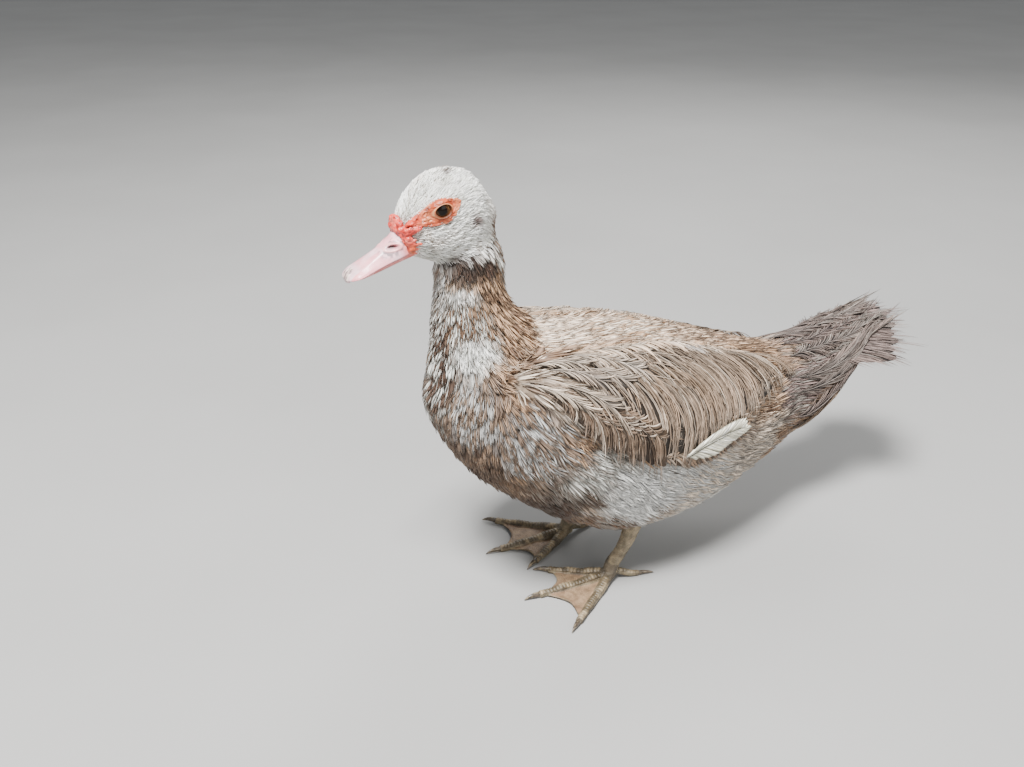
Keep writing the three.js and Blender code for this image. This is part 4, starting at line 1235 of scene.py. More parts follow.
class Feather:
    """One feather on a chart, from start to end. Sizes are in millimetres and shares go from 0 to 1."""

    bow = 0  # how far the shaft curves to the side
    lift = (0, 1.5)  # the shaft's height at its start and its end
    angle = (28, 62)  # the barbs' turn away from the shaft, near it and at their tips
    lock = 3.4  # how far apart the locks of barbs are
    barbs = 3  # barbs in a lock
    fray = 0.12  # how unlike in length they are
    camber = 1.2  # how far the edges droop
    upper = 0.55  # the upper vane's width, as a share of half
    lower = 1.0
    vane = 0.8  # how far the slab under the barbs reaches out, 0 for none
    # below 1, deep makes the slab painted shade in the gaps between the barbs
    deep = 0.3  # the slab's strength of colour
    taper = 0.6  # where along the shaft the vane begins to narrow
    stations = 7  # points along a barb
    stout = 0.15  # a barb's width, as a share of its lock's
    point = 0.5  # how pointed the end is
    vary = (0.58, 1.18)  # the least and the greatest strength of colour
    gaps = 0.14  # the share of locks that lie in shadow

    def __init__(self, start, end, half, tint, tip, edge, **looks):
        self.start, end = np.array(start, float), np.array(end, float)
        self.half = half
        self.tint, self.tip, self.edge = np.array(tint), np.array(tip), np.array(edge)
        self.run = end - self.start
        self.length = np.linalg.norm(self.run)
        self.way = self.run / self.length
        self.across = np.array([-self.way[1], self.way[0]])
        for name, value in looks.items():
            setattr(self, name, value)

    def spine(self, t):
        sway = self.bow * np.sin(np.pi * np.clip(t, 0, 1))
        return self.start + self.run * t[..., None] + self.across * sway[..., None]

    def height(self, t):
        return mix(*self.lift, t)

    def profile(self, t):
        """The vane's width along the shaft, as a share."""
        fall = np.clip((t - self.taper) / (1.04 - self.taper), 0, 1)
        return ease(-0.15, 0.2, t) * np.clip(1 - fall**2.2, 0.05, 1) ** self.point


class Plumes:
    """Gathers the barbs of many large feathers, with each one's colour and home."""

    def __init__(self, chart, seed):
        self.chart = chart
        self.rng = np.random.default_rng(seed)
        self.parts, self.along, self.blade, self.tint, self.corner = [], [], [], [], []

    def add(self, verts, faces, along, blade, tint, roots):
        """Each barb's patch of the baking map lies at its root's place on the skin's unwrap."""
        self.parts.append((verts, faces))
        self.along.append(along)
        self.blade.append(np.broadcast_to(blade, along.shape))
        self.tint.append(np.broadcast_to(tint, (len(verts), 3)))
        self.corner.append(unwrapped(roots)[:, :2] + (verts - roots)[:, 1:] / PATCH_SCALE * PATCH_REACH)

    def add_strips(self, at, lift, widths, ridge, root_tint, tip_tint, blade):
        """Strips from chart places, which are strips by stations."""
        paths = self.chart(at[..., 0], at[..., 1], lift)
        raised = self.chart(at[..., 0], at[..., 1], lift + 1.0)
        ups = unit(raised - paths)
        sides = unit(np.cross(ups, unit(np.gradient(paths, axis=1))))
        verts, faces, along = strips(paths, sides, ups, widths, ridge)
        per = len(verts) // len(paths)
        tint = mix(np.repeat(root_tint, per, axis=0), np.repeat(tip_tint, per, axis=0), along[:, None])
        self.add(verts, faces, along, np.repeat(blade, per), tint, np.repeat(paths[:, 0], per, axis=0))

    def feather(self, *placed, **looks):
        """Adds a feather: the slab under its barbs, the barbs of both sides and the shaft."""
        made = Feather(*placed, **looks)
        if made.vane > 0:
            self.add_slab(made)
        for sign, share in ((1, made.lower), (-1, made.upper)):
            if share > 0:
                self.add_barbs(made, sign, share)
        self.add_shaft(made)

    def add_slab(self, f):
        """A thin slab, so that nothing shows between the barbs: darker than the feather, it is painted shade
        in the gaps between them.
        """
        rows, columns = 12, 6
        t = np.linspace(0.05, 0.97, rows)[:, None]
        v = np.linspace(-f.upper if f.upper > 0 else 0.14, f.lower, columns)[None, :] * f.vane
        bend = np.radians(mix(*f.angle, np.linspace(0, 1, rows) ** 1.15))
        ahead, aside = np.cumsum(np.cos(bend)), np.cumsum(np.sin(bend))
        lean = np.interp(np.abs(v), aside / aside[-1], ahead / aside[-1])
        at = f.spine(t) + (f.way * (lean * f.half * f.profile(t))[..., None])
        at = at + f.across * (v * f.half * f.profile(t))[..., None]
        high = f.height(t) - 0.5 - f.camber * v**2
        top = self.chart(at[..., 0], at[..., 1], high)
        verts, faces = closed_slab(top, self.chart(at[..., 0], at[..., 1], high - 0.35))
        roots = np.tile(verts.mean(axis=0), (len(verts), 1))
        # the slab takes the feather's tint made darker, as painted shade between the barbs
        self.add(verts, faces, np.full(len(verts), 0.3), 0.3, f.tint * f.deep, roots)

    def add_barbs(self, f, sign, share):
        """The barbs of one side, in locks that lie and are coloured alike."""
        locks = max(3, int(f.length / f.lock))
        index = np.arange(locks * f.barbs)
        group = index // f.barbs
        place_in = (index % f.barbs - (f.barbs - 1) / 2)[:, None]

        def per_lock(low, high):
            return self.rng.uniform(low, high, locks)[group][:, None]

        def per_barb(low, high):
            return self.rng.uniform(low, high, (len(index), 1))

        t = (group[:, None] + 0.5) / locks + per_lock(-0.33, 0.33) / locks
        t = t + place_in * 1.45 * f.stout / locks
        ragged = 1 + f.fray * per_lock(-1, 1) + 0.4 * f.fray * per_barb(-1, 1)
        reach = f.half * share * f.profile(t) * ragged
        u = np.linspace(0, 1, f.stations)[None, :]
        bend = mix(*f.angle, u**1.15 * ease(-4, 9, reach))
        turn = np.radians(bend + per_lock(-5, 5) + per_barb(-1.5, 1.5))
        ahead, aside = (np.cumsum(part(turn), axis=1) - part(turn[:, :1]) for part in (np.cos, np.sin))
        run = reach / np.maximum(aside[:, -1:], 0.3)
        gather = place_in * f.length / locks * 0.27 * -0.5 * u**2
        at = f.spine(t[:, 0])[:, None] + f.way * (run * ahead + gather)[..., None]
        at = at + f.across * (sign * run * aside)[..., None]
        high = f.height(t) - f.camber * (share * u) ** 2 + 0.4 * np.sin(np.pi * u) + per_lock(-0.3, 0.4)
        high = high - 1.6 * (1 - ease(0, 0.25, u))
        wide = f.stout * f.length / locks * 3 / f.barbs * BARB_WIDTHS(u) * per_barb(0.8, 1.2)
        pale = per_lock(0, 1) < 0.2
        root_tint = mix(f.tint, f.edge, np.where(pale, 0.6, 0.2 * per_lock(0, 1)))
        tip_tint = mix(f.tip, f.edge, np.where(pale, 0.5, 0.1))
        # painted shade: within each lock the barbs grow darker towards one side, as where they overlap, and a
        # share of the locks is darker as lying in shadow
        shade = per_lock(*f.vary) * (1 + 0.34 * place_in * sign)
        shade = shade * np.where(per_lock(0, 1) < f.gaps, 0.5, 1)
        blade = per_barb(0, 1)[:, 0]
        self.add_strips(at, high, wide, 0.5 * wide + 0.1, root_tint * shade, tip_tint * shade, blade)

    def add_shaft(self, f):
        t = np.linspace(-0.02, 0.98, SHAFT_STATIONS)[None, :]
        wide = np.linspace(0.6, 0.12, SHAFT_STATIONS)[None, :]
        tint = mix(f.tint, f.edge, 0.4)[None, :]
        self.add_strips(f.spine(t), f.height(t) + 0.3, wide, wide, tint, tint, np.array([0.5]))

    def piece(self, name, material):
        made = new_object(name, *merged(self.parts), recalculate=False)
        corners = np.empty(len(made.data.loops), int)
        made.data.loops.foreach_get("vertex_index", corners)
        layer = made.data.uv_layers.new(name="OFBake")
        layer.data.foreach_set("uv", np.concatenate(self.corner)[corners].ravel())
        store(made, along=np.concatenate(self.along), blade=np.concatenate(self.blade))
        return coloured(made, np.concatenate(self.tint), material)


def pick(rng, *names):
    """A chance mixture of several colours of the palette."""
    weights = rng.dirichlet(np.full(len(names), 0.8))
    return sum(weight * PALETTE[name] for weight, name in zip(weights, names))


def flight_tips(plumes):
    """Tips of the flight feathers along the lower edge."""
    for share in shares(5):
        start, end = (mix(112, 150, share), 98), (mix(206, 246, share), mix(99, 60, share))
        plumes.feather(
            start, end, 12, TAN, BROWN, CREAM,
            lift=(-1.4, 0.3 * share - 0.6), angle=(28, 42), fray=0.05, camber=0.4, upper=0.6,
        )


def brown_coverts(plumes, rng):
    """Brown greater coverts make the lower edge in front."""
    for share in shares(6):
        p, q = mix(16, 62, share) + rng.uniform(-3, 3), mix(48, 60, share) + rng.uniform(-3, 3)
        tint, tip = pick(rng, "tan", "brown"), pick(rng, "brown", "umber")
        plumes.feather(
            (p, q), (p + 46, mix(80, 84, share)), 23, tint, tip, CREAM,
            bow=-3, lift=(-1.0, 1.6), angle=(16, 66), lock=2.8, fray=0.3, upper=0.3, stout=0.125,
        )


def long_sweeps(plumes, rng):
    """Long loose feathers whose barbs sweep back and then down over the wing."""
    for i, share in enumerate(shares(8)):
        p, q = mix(42, 168, share) + rng.uniform(-3, 3), mix(32, -6, share**0.8)
        end = (p + mix(92, 68, share), q + mix(14, 9, share))
        tint = mix(pick(rng, "tan", "brown", "buff"), CREAM, 0.3 * rng.uniform())
        tip = mix(TAN, PALETTE["umber"], 0.3 + 0.5 * rng.uniform())
        rise = 1.6 * share * (1 - 1.5 * ease(0.7, 1, share))
        plumes.feather(
            (p, q), end, mix(66, 84, share), tint, tip, CREAM,
            bow=-4, lift=(0.6 + 1.4 * share, 2.0 + rise), angle=(mix(16, 18, share), mix(96, 78, share)),
            camber=2.2, upper=0, taper=mix(0.5, 0.42, share), stations=10, stout=0.12,
            vane=0.86 if i < 6 else 0, deep=0.08,
        )


def shoulder_feathers(plumes, rng):
    """Small loose feathers scattered over the shoulder and over the others' roots."""
    for share in shares(20):
        p = mix(8, 150, share) + rng.uniform(-8, 8)
        q = mix(rng.uniform(0, 58), rng.uniform(-10, 12), ease(0.2, 0.6, share))
        end = (p + rng.uniform(28, 40), q + mix(14, 5, share))
        tint = pick(rng, "cream", "cream", "buff", "blue_grey", "taupe")
        plumes.feather(
            (p, q), end, rng.uniform(9, 13), tint, mix(tint, TAN, 0.5), CREAM,
            bow=-2, lift=(1.2, 3.0), angle=(10, 44), lock=2.5, fray=0.4, upper=0.8, vane=0.6, deep=0.2,
            stout=0.125,
        )


def upper_fringe(plumes, rng):
    """A fringe of cream barbs along the wing's upper edge, laid in over the back."""
    for share in shares(9):
        p, q = mix(60, 186, share), mix(6, -8, share) + rng.uniform(-3, 3)
        plumes.feather(
            (p, q), (p + 40, q + 5), 13, mix(CREAM, BUFF, rng.uniform()), TAN, CREAM,
            bow=-2, lift=(2.2, 4.4), angle=(16, 56), lock=3.6, fray=0.4, upper=1.2, vane=0,
        )


def pale_feather(plumes):
    """The one pale feather over the left wing's lower edge."""
    plumes.feather(
        (134, 99), (200, 96), 10, linear("d9d4bf"), linear("e2ddca"), PALETTE["white"],
        bow=-4, lift=(1.8, 2.8), angle=(22, 26), lock=1.2, barbs=1, fray=0, camber=0.4, upper=0.75,
        vane=0.97, deep=1.0, taper=0.5, stout=0.26, point=1.0, vary=(0.97, 1.04), gaps=0,
    )


def build_wing(side, seed, material):
    """The folded wing's long coverts and flight feathers, the lowest layer first."""
    plumes = Plumes(wing_chart(side), seed)
    flight_tips(plumes)
    brown_coverts(plumes, plumes.rng)
    long_sweeps(plumes, plumes.rng)
    shoulder_feathers(plumes, plumes.rng)
    upper_fringe(plumes, plumes.rng)
    if side > 0:
        pale_feather(plumes)
    return plumes.piece(sided("wing_feathers", side), material)


TAIL_ROUND = 38  # millimetres round the tail's root for one radian
COVERTS_AROUND = 108  # how far down each side the tail's coverts go, in the same millimetres
# Rows of tail coverts: where they start and end behind the root, and how many there are
COVERT_ROWS = [(34, 92, 13), (14, 70, 14), (-6, 48, 14)]


def tail_side_chart(p, q, lift):
    """The tail's root unrolled: p back along it, q round it from one side over the back to the other."""
    return tail_root_point(p, np.pi / 2 + q / TAIL_ROUND, lift)


def build_tail(material):
    """Tail feathers in a fan, frayed at their tips."""
    plumes = Plumes(tail_place, 5)
    for part in shares(14):
        share = part * 2 - 1
        off = abs(share)
        turn = share * TAIL["spread"] * DEGREE
        length = TAIL["length"] - 12 - 18 * off**2 + plumes.rng.uniform(-8, 0)
        way = np.array([math.cos(turn), math.sin(turn)])
        tint = 0.8 * pick(plumes.rng, "mauve", "brown", "mauve")
        lift = 2.4 - 6 * off
        plumes.feather(
            way * 16, way * length * 0.9, 15, tint, 0.9 * PALETTE["mauve"], PALETTE["grey_beige"],
            bow=2 * share, lift=(lift, lift), angle=(12, 30), lock=3.2, fray=0.3, camber=0.8, upper=1.0,
            vane=0.7, taper=0.5, deep=0.12, stout=0.12,
        )
    return plumes.piece("tail_feathers", material)


def build_tail_coverts(material):
    """Long coverts all round the tail's root, in three rows that run out over and under the fan."""
    plumes = Plumes(tail_side_chart, 6)
    rng = plumes.rng
    for first, last, count in COVERT_ROWS:
        for i in range(count):
            share = (i + 0.5) / count * 2 - 1
            under = abs(share) > 0.66
            names = ("buff", "mauve", "tan") if under else ("mauve", "grey_beige", "mauve")
            tint = 0.78 * pick(rng, *names)
            reach = (last - 14 * under) * rng.uniform(0.92, 1.05)
            q = share * COVERTS_AROUND + rng.uniform(-4, 4)
            end = (reach, q * 0.97 + rng.uniform(-5, 5))
            plumes.feather(
                (first, q), end, rng.uniform(7, 13), tint, mix(tint, BROWN, 0.35), PALETTE["grey_beige"],
                bow=rng.uniform(-3, 3), lift=(0.5, 3.4 if first < 30 else 2.0),
                angle=(8, rng.uniform(20, 58)), lock=2.4, barbs=2, fray=0.6,
                upper=rng.uniform(0.5, 1.1), lower=rng.uniform(0.6, 1.1),
                vane=0.4, taper=0.4, stations=6, deep=0.15, stout=0.115,
            )
    return plumes.piece("tail_coverts", material)


# Bare face


FACE_FRONT = -159  # the head's sides are followed forward to here
BLEND = 1.1  # over how many millimetres the eye's ball runs into the cheek
# Lines along the lids: share of the way out, colour, strength. The last one darkens the groove round the
# lids, as painted shade.
LID_LINES = [(0, "3a2314", 0.9), (0.07, "d8b48c", 0.7), (0.16, "7d3f26", 0.6)]


def patch_offsets(share, angle):
    """How far forward and up of the eye places lie, from the lids' opening out to the almond's outline."""
    cos, sin = np.cos(angle), np.sin(angle)
    inner = turned(LIDS["half_length"] * cos, LIDS["half_height"] * sin, -LIDS["slant"])
    along = np.where(cos > 0, FACE["forward"] + 1.6, FACE["back"] + 1.6) * np.sign(cos) * np.abs(cos) ** 1.1
    narrow = 1 - FACE["narrowing"] * np.abs(cos) ** 2
    rise = np.where(sin > 0, FACE["above"] + 2.0, FACE["below"] + 1.6) * sin * narrow
    outer = turned(along, rise, -FACE["slant"])
    return mix(inner[0], outer[0], share), mix(inner[1], outer[1], share)


def face_relief(points, share):
    """Folds round the lids, creases and pebbles, as a height."""
    rings = np.sin(share * 30 + 6 * noise(points, 6, 3)) * ease(0.02, 0.12, share)
    rings = rings * (1 - ease(0.2, 0.5, share))
    creases = noise(points * np.array([1, 1, 1.6]), 1.7, 8) - 0.5
    pebbles = noise(points, 1.0, 9) - 0.5
    margin = 0.45 * np.exp(-((share - 0.03) / 0.035) ** 2)
    groove = -0.5 * np.exp(-((share - 0.16) / 0.04) ** 2)
    return margin + groove + 0.16 * rings + ease(0.1, 0.35, share) * (1.1 * creases + 0.8 * pebbles)


def face_tone(verts, share, angle, height):
    cast = noise(verts, 3.2, 21)
    # painted shade: the skin is darker where its relief lies low, in the folds and the groove round the lids;
    # the same colour also comes in blotches at random
    low = 1 - ease(-0.4, 0.0, height.ravel())
    upper = np.exp(-(((share - 0.62) / 0.25) ** 2)) * ease(0.0, 0.5, np.sin(angle))
    fleck = ease(0.5, 0.62, noise(verts, 1.3, 22)) * upper.ravel()
    tone = painted(
        linear("b6583a"),
        ("cf9270", 0.55 * ease(0.45, 0.75, cast)),
        ("86371f", 0.36 * ease(0.55, 0.3, cast) + 0.5 * low),
        ("c64f40", ease(-140, -153, verts[:, 1])),
        ("4a2418", 0.75 * fleck),
    )
    for at, colour, strength in LID_LINES:
        line = np.exp(-(((share - at) / 0.03) ** 2) * np.ones(angle.shape)).ravel()
        tone = painted(tone, (colour, strength * line))
    return tone


def walled(verts, rows, around, depth):
    """A closed skin from rings of points and a wall behind them."""
    faces = []
    for r in range(rows - 1):
        for k in range(around):
            n = (k + 1) % around
            faces.append((r * around + k, r * around + n, (r + 1) * around + n, (r + 1) * around + k))
    size = len(verts)
    last = (rows - 1) * around
    faces += [tuple(size + i for i in reversed(face)) for face in faces]
    for k in range(around):
        n = (k + 1) % around
        faces.append((n, k, size + k, size + n))
        faces.append((last + k, last + n, size + last + n, size + last + k))
    return np.concatenate([verts, verts - np.array([depth, 0, 0])]), faces


def build_face_skin(side, material):
    """Bare skin from the lids' rim out under the head's feathers: lids, folds and small pebbles."""
    rows, around = 46, 120
    share = np.concatenate([[0.0, 0.0], np.linspace(0, 1, rows - 2)])[:, None]
    angle = turns(around)[None, :]
    forward, up = patch_offsets(share, angle)
    y, z = EYE["y"] - forward, EYE["z"] + up
    away2 = forward**2 + up**2
    over_eye = EYE["x"] + np.sqrt(np.clip((EYE["radius"] + 0.95) ** 2 - away2, 0.01, None))
    cheek = head.side(np.maximum(y, FACE_FRONT), z) - 0.5
    points = np.stack([BLEND * np.logaddexp(over_eye / BLEND, cheek / BLEND), y, z], axis=-1)
    height = face_relief(points, share)
    points[..., 0] += height - 2.8 * ease(0.84, 1.0, share)
    # the rim turns in over the ball of the eye
    inside = points[2] - EYE_CENTRE
    points[1] = EYE_CENTRE + unit(inside) * (EYE["radius"] + 0.35)
    points[0] = EYE_CENTRE + unit(inside * np.array([1, 1.25, 1.3])) * (EYE["radius"] - 0.5)
    tone = face_tone(points.reshape(-1, 3), share, angle, height)
    verts, faces = walled(points.reshape(-1, 3), rows, around, 1.6)
    verts[:, 0] *= side
    made = new_object(sided("bare_face", side), verts, faces)
    return coloured(made, np.concatenate([tone, tone]), material)


HALVINGS = 24  # as many as find the face's surface to far less than a micrometre


def face_front(x, z):
    """How far forward the head's surface lies at a place on its face."""
    low, high = head.first, EYE["y"]
    for _ in range(HALVINGS):
        y = (low + high) / 2
        middle, half_height, half_width = head.sizes(y)
        across, rise = abs(x / half_width), abs((z - middle) / half_height)
        inside = across**head.squareness + rise**head.squareness < 1
        low, high = (low, y) if inside else (y, high)
    return high


def ball(centre, sizes, around=14, rows=9):
    """A closed ball of three half sizes."""
    polar = np.pi * np.arange(1, rows) / rows
    turn = turns(around)
    rings = np.stack(
        [
            np.cos(polar)[:, None] * np.ones(around),
            np.sin(polar)[:, None] * np.cos(turn),
            np.sin(polar)[:, None] * np.sin(turn),
        ],
        axis=-1,
    )
    return closed_tube(np.array(centre) + rings * np.array(sizes))


def arch(sweep, width, rise, z, sink, share):
    angle = mix(-sweep, sweep, share) * DEGREE
    x, height = width * math.sin(angle), z + rise * math.cos(angle)
    return np.array([x, face_front(x, height) + sink, height])


def build_caruncle(material):
    """The red saddle over the bill's base: folds from gape to gape, with bulbs and small pebbles on them."""
    rng = np.random.default_rng(12)
    parts = []
    for share in np.linspace(0, 1, 34):
        parts.append(ball(arch(120, 12, 8.6, 300.5, 1.9, share), (3.4, 3.0, 3.2)))
    for i in range(7):
        size = 3.6 + 0.9 * rng.uniform()
        parts.append(ball(arch(112, 12.2, 9.8, 301, 1.4, i / 6), (size, 0.8 * size, size)))
    for i in range(5):
        size = 3.4 + 0.8 * rng.uniform()
        parts.append(ball(arch(58, 12.4, 12.4, 302, 1.2, i / 4), (size * 1.15, 0.75 * size, size * 0.9)))
    # a lobe runs from the saddle towards the eye on each side
    for side in (-1, 1):
        for step, size in ((0, 3.2), (0.35, 2.9), (0.7, 2.3), (1, 1.6)):
            y, z = mix(-151.5, -146.0, step), mix(309.5, 311.5, step)
            parts.append(ball((side * (head.side(y, z) - 0.9), y, z), (1.9, 2.9 * size / 3, size)))
    for i in range(90):
        size = 0.7 + 0.6 * rng.uniform()
        wide, rise = 12.6 + 3.0 * rng.uniform(-1, 1), 10.5 + 3.4 * rng.uniform(-1, 1)
        parts.append(ball(arch(120, wide, rise, 301, -0.2, rng.uniform()), (size, size, size), 8, 6))
    made = fused("caruncle_folds", parts, 0.42, 3)
    p, normals = vertices_of(made)
    crease = noise(p, 1.5, 33) - 0.5
    p = p + normals * (0.9 * crease - 0.15)[:, None]
    move_vertices(made, p)
    cast = noise(p, 3.0, 31)
    # painted shade: the folds' creases, where the surface sinks in, are darker
    tone = painted(
        linear("cb4a40"),
        ("e08a7c", 0.6 * ease(0.5, 0.8, cast)),
        ("9c2d27", 0.75 * ease(0.5, 0.25, cast)),
        ("c4643c", 0.7 * ease(304, 296, p[:, 2])),
        ("6f211b", 0.7 * ease(-0.08, -0.25, crease)),
    )
    return coloured(made, tone, material)


# Bill


def bill_line(along, rise):
    """A place on the bill's middle plane: along from its base, 0, to its tip, 1."""
    y0, z0 = BILL["base"]
    y1, z1 = BILL["tip"]
    length = math.hypot(y1 - y0, z1 - z0)
    up = np.array([(z1 - z0), (y0 - y1)]) / length
    y = y0 + (y1 - y0) * along + up[0] * rise
    z = z0 + (z1 - z0) * along + up[1] * rise
    return y, z


UPPER_BILL = [
    # share along, width, height
    [-0.08, 23, 16],
    [0.06, 23, 15.6],
    [0.18, 22.6, 13.4],
    [0.38, 21.4, 9.6],
    [0.56, 22, 7.3],
    [0.7, 24, 5.8],
    [0.85, 25, 4.3],
    [0.95, 20.5, 2.7],
    [1.0, 13.5, 1.6],
    [1.02, 6, 1.0],
]


LOWER_BILL = [
    # share along, width, depth
    [-0.1, 18.4, 5.0],
    [0.25, 17.8, 4.2],
    [0.6, 17.6, 3.8],
    [0.82, 17.6, 2.8],
    [0.94, 9, 1.2],
]
BILL_LENGTH = 48.5
NOSTRIL = {"along": 0.27, "rise": 7.9, "half_length": 3.9, "half_height": 1.55, "slope": 0.1}
NAIL = {"half_width": 5.4, "reach": 0.15, "stands": 0.75, "hook": 1.5}


def bill_mesh(name, along, side, rise, tint, material):
    """A closed mesh from rings of (side, rise) round the bill's line."""
    rings = np.stack([side, *bill_line(along, rise)], axis=-1)
    colours = tint.reshape(-1, 3)
    ends = np.concatenate([colours, colours[:1], colours[-1:]])
    return coloured(new_object(name, *closed_tube(rings)), ends, material)


def nostril_parts(a, side, rise, above):
    """An oval pit with a raised rim on each side: how deep in it, on its rim and near it each place is."""
    slope, level = (a - NOSTRIL["along"]) * BILL_LENGTH, rise - NOSTRIL["rise"]
    across = (level - NOSTRIL["slope"] * slope) / NOSTRIL["half_height"]
    oval = np.sqrt((slope / NOSTRIL["half_length"]) ** 2 + across**2)
    off_middle = (np.abs(side) > 3.5) & above
    rim = np.exp(-((oval - 1.4) / 0.32) ** 2) * off_middle
    near = np.exp(-((np.sqrt((slope / 7.5) ** 2 + (level / 4.5) ** 2) - 0.9) / 0.45) ** 2) * (1 - rim)
    return oval, rim, near, off_middle


def build_upper_bill(material):
    count, around = 130, 112
    along = -0.08 + 1.1 * np.linspace(0, 1, count)
    width, height = (curve(along) for curve in curves(UPPER_BILL))
    wide = signed_power(np.cos(turns(around)), 2 / 2.3)
    lift = signed_power(np.sin(turns(around)), 2 / 2.2)
    above = lift[None, :] > 0
    side = width[:, None] / 2 * wide[None, :]
    rise = np.where(lift > 0, height[:, None], 1.2) * lift[None, :]
    a = along[:, None] + 0 * side
    # the ridge is narrower than a plain arch, and the sides are a little hollow
    hollow = np.exp(-((lift - 0.55) / 0.3) ** 2)[None, :] * ease(0.1, 0.4, a) * (1 - ease(0.75, 0.95, a))
    side = side * (1 - 0.09 * hollow)
    # the nail at the tip stands up a little and hooks over
    from_nail = np.sqrt((side / NAIL["half_width"]) ** 2 + ((a - 1.0) / NAIL["reach"]) ** 2)
    nail = (1 - ease(0.85, 1.0, from_nail)) * above
    rise = rise + NAIL["stands"] * nail
    rise = rise - NAIL["hook"] * ease(0.96, 1.02, a) * (np.abs(side) < 6)
    oval, rim, near, off_middle = nostril_parts(a, side, rise, above)
    pit = (1 - ease(0.55, 1.05, oval)) * off_middle
    side = side * (1 - 0.3 * pit + 0.08 * rim)
    rise = rise + 0.3 * rim
    # fine wrinkles near the base and a thin lip along the edge
    p = np.stack([side, *bill_line(a, rise)], axis=-1)
    wrinkle = (noise(p, 1.6, 41) - 0.5) * (1 - ease(0.1, 0.45, a))
    side = side * (1 + 0.035 * wrinkle)
    lip = np.exp(-(lift / 0.1) ** 2)[None, :] * (1 - ease(0.9, 1.0, a))
    side = side * (1 + 0.02 * lip)
    fleck = ease(0.5, 0.6, noise(p, 1.5, 43)) * near * off_middle
    # the nostril's opening, only a shallow pit in the mesh, is painted near black as the shade inside it
    hole = (1 - ease(0.45, 0.9, oval)) * off_middle
    tint = upper_bill_tone(p, a, side, rise, rim, fleck, hole, nail)
    return bill_mesh("bill_upper", a, side, rise, tint, material)


def upper_bill_tone(p, a, side, rise, rim, fleck, hole, nail):
    """Pink, paler behind and redder at the base, with dark flecks round the nostril and a horny nail."""
    cast = noise(p, 7, 42)
    corner = (1 - ease(0.02, 0.26, a)) * (1 - ease(4, 13, rise))
    streak = noise(p * np.array([2.2, 0.5, 0.5]), 1.5, 44)
    return painted(
        linear("e9aab0"),
        ("e8cdd2", 0.75 * ease(0.35, 0.7, cast) * (1 - ease(0.55, 0.9, a))),
        ("dd8f92", 0.5 * ease(0.5, 0.95, a)),
        ("d8604a", 0.85 * corner),
        ("d8604a", 0.6 * (1 - ease(-0.04, 0.09, a))),
        ("f0a9a4", 0.7 * rim),
        ("7d7276", 0.85 * fleck),
        ("2a1815", 0.97 * hole),
        ("d5dade", 0.5 * ease(0.72, 0.86, a) * (np.abs(side) < 9)),
        (painted(linear("ead9cf"), ("4f4648", 0.85 * ease(0.5, 0.62, streak))), 0.9 * ease(0.1, 0.5, nail)),
    )


def build_lower_bill(material):
    along = np.linspace(-0.1, 0.94, 70)
    width, depth = (curve(along) for curve in curves(LOWER_BILL))
    wide = signed_power(np.cos(turns(64)), 2 / 2.2)[None, :]
    lift = signed_power(np.sin(turns(64)), 2 / 2.2)[None, :]
    side = width[:, None] / 2 * wide
    rise = -1.3 + np.where(lift > 0, 0.15, depth[:, None]) * lift
    a = along[:, None] + 0 * side
    p = np.stack([side, *bill_line(a, rise)], axis=-1)
    # painted shade: the upper side, hidden under the upper bill, is dark as the shade between the two halves
    tint = painted(
        linear("e2a3a2"),
        ("cf8583", ease(0.3, 0.7, noise(p, 6, 45))),
        ("c8553f", 0.7 * (1 - ease(0.0, 0.3, a))),
        ("5a2d28", 0.85 * ease(0.1, 0.5, lift) * np.ones_like(a)),
    )
    return bill_mesh("bill_lower", a, side, rise, tint, material)


IRIS_ANGLE = 41  # degrees from the eye's own axis to the iris's edge


def build_eye(side, material):
    verts, faces = ball(EYE_CENTRE, [EYE["radius"]] * 3, 64, 40)
    out = unit(np.array([[1.0, -0.16, 0.05]]))[0]
    away = verts - EYE_CENTRE
    ring = np.arccos(np.clip(unit(away) @ out, -1, 1)) / math.radians(IRIS_ANGLE)
    # the cornea stands out a little over the iris
    verts = EYE_CENTRE + away * (1 + 0.03 * (1 - ease(0.6, 1.2, ring)))[:, None]
    verts[:, 0] *= side
    made = new_object(sided("eyeball", side), verts, faces)
    store(made, ring=ring)
    made.data.materials.append(material)
    return made


# Legs and feet


def toe_way(foot, angle):
    turn = (foot["turn"] + angle) * DEGREE * foot["sign"]
    return np.array([math.sin(turn), -math.cos(turn), 0])


def middle_of(foot):
    return np.array([foot["x"], foot["y"], 0.0])


def square_to(way):
    return np.array([-way[1], way[0], 0])


def toe_stations(foot, length, angle):
    way = toe_way(foot, angle)
    knuckles = 3
    stations = []
    for i in range(knuckles * 2 + 1):
        t = i / (knuckles * 2)
        radius = mix(TOE_RADIUS, TOE_RADIUS * 0.62, t) * (0.88 if i % 2 else 1)
        height = mix(LEG["joint_z"] * 0.55, radius * 0.85, min(1, t * 2.4))
        at = middle_of(foot) + way * length * t
        stations.append(((at[0], at[1], height), radius, radius, radius))
    return stations


def toe_core(foot, length, angle, around=20):
    way = toe_way(foot, angle)
    return tube_rings(toe_stations(foot, length, angle), around, 4, square_to(way))


def web_core(foot, first, second):
    origin = middle_of(foot)
    share = np.linspace(0.06, 0.95, 22)[:, None]
    column = np.linspace(0, 1, 18)[None, :]
    hollow = 1 - 0.17 * np.sin(np.pi * column) * share**3
    a = origin + toe_way(foot, first[1]) * first[0] * (share * hollow)[..., None]
    b = origin + toe_way(foot, second[1]) * second[0] * (share * hollow)[..., None]
    at = a + (b - a) * column[..., None]
    folds = 0.35 * np.sin(column * 3 * np.pi + share * 3) * np.sin(np.pi * column)
    z = 1.7 + 1.2 * (1 - share) + folds
    top, bottom = at.copy(), at.copy()
    top[..., 2], bottom[..., 2] = z + 0.75, z - 0.75
    return closed_slab(top, bottom)


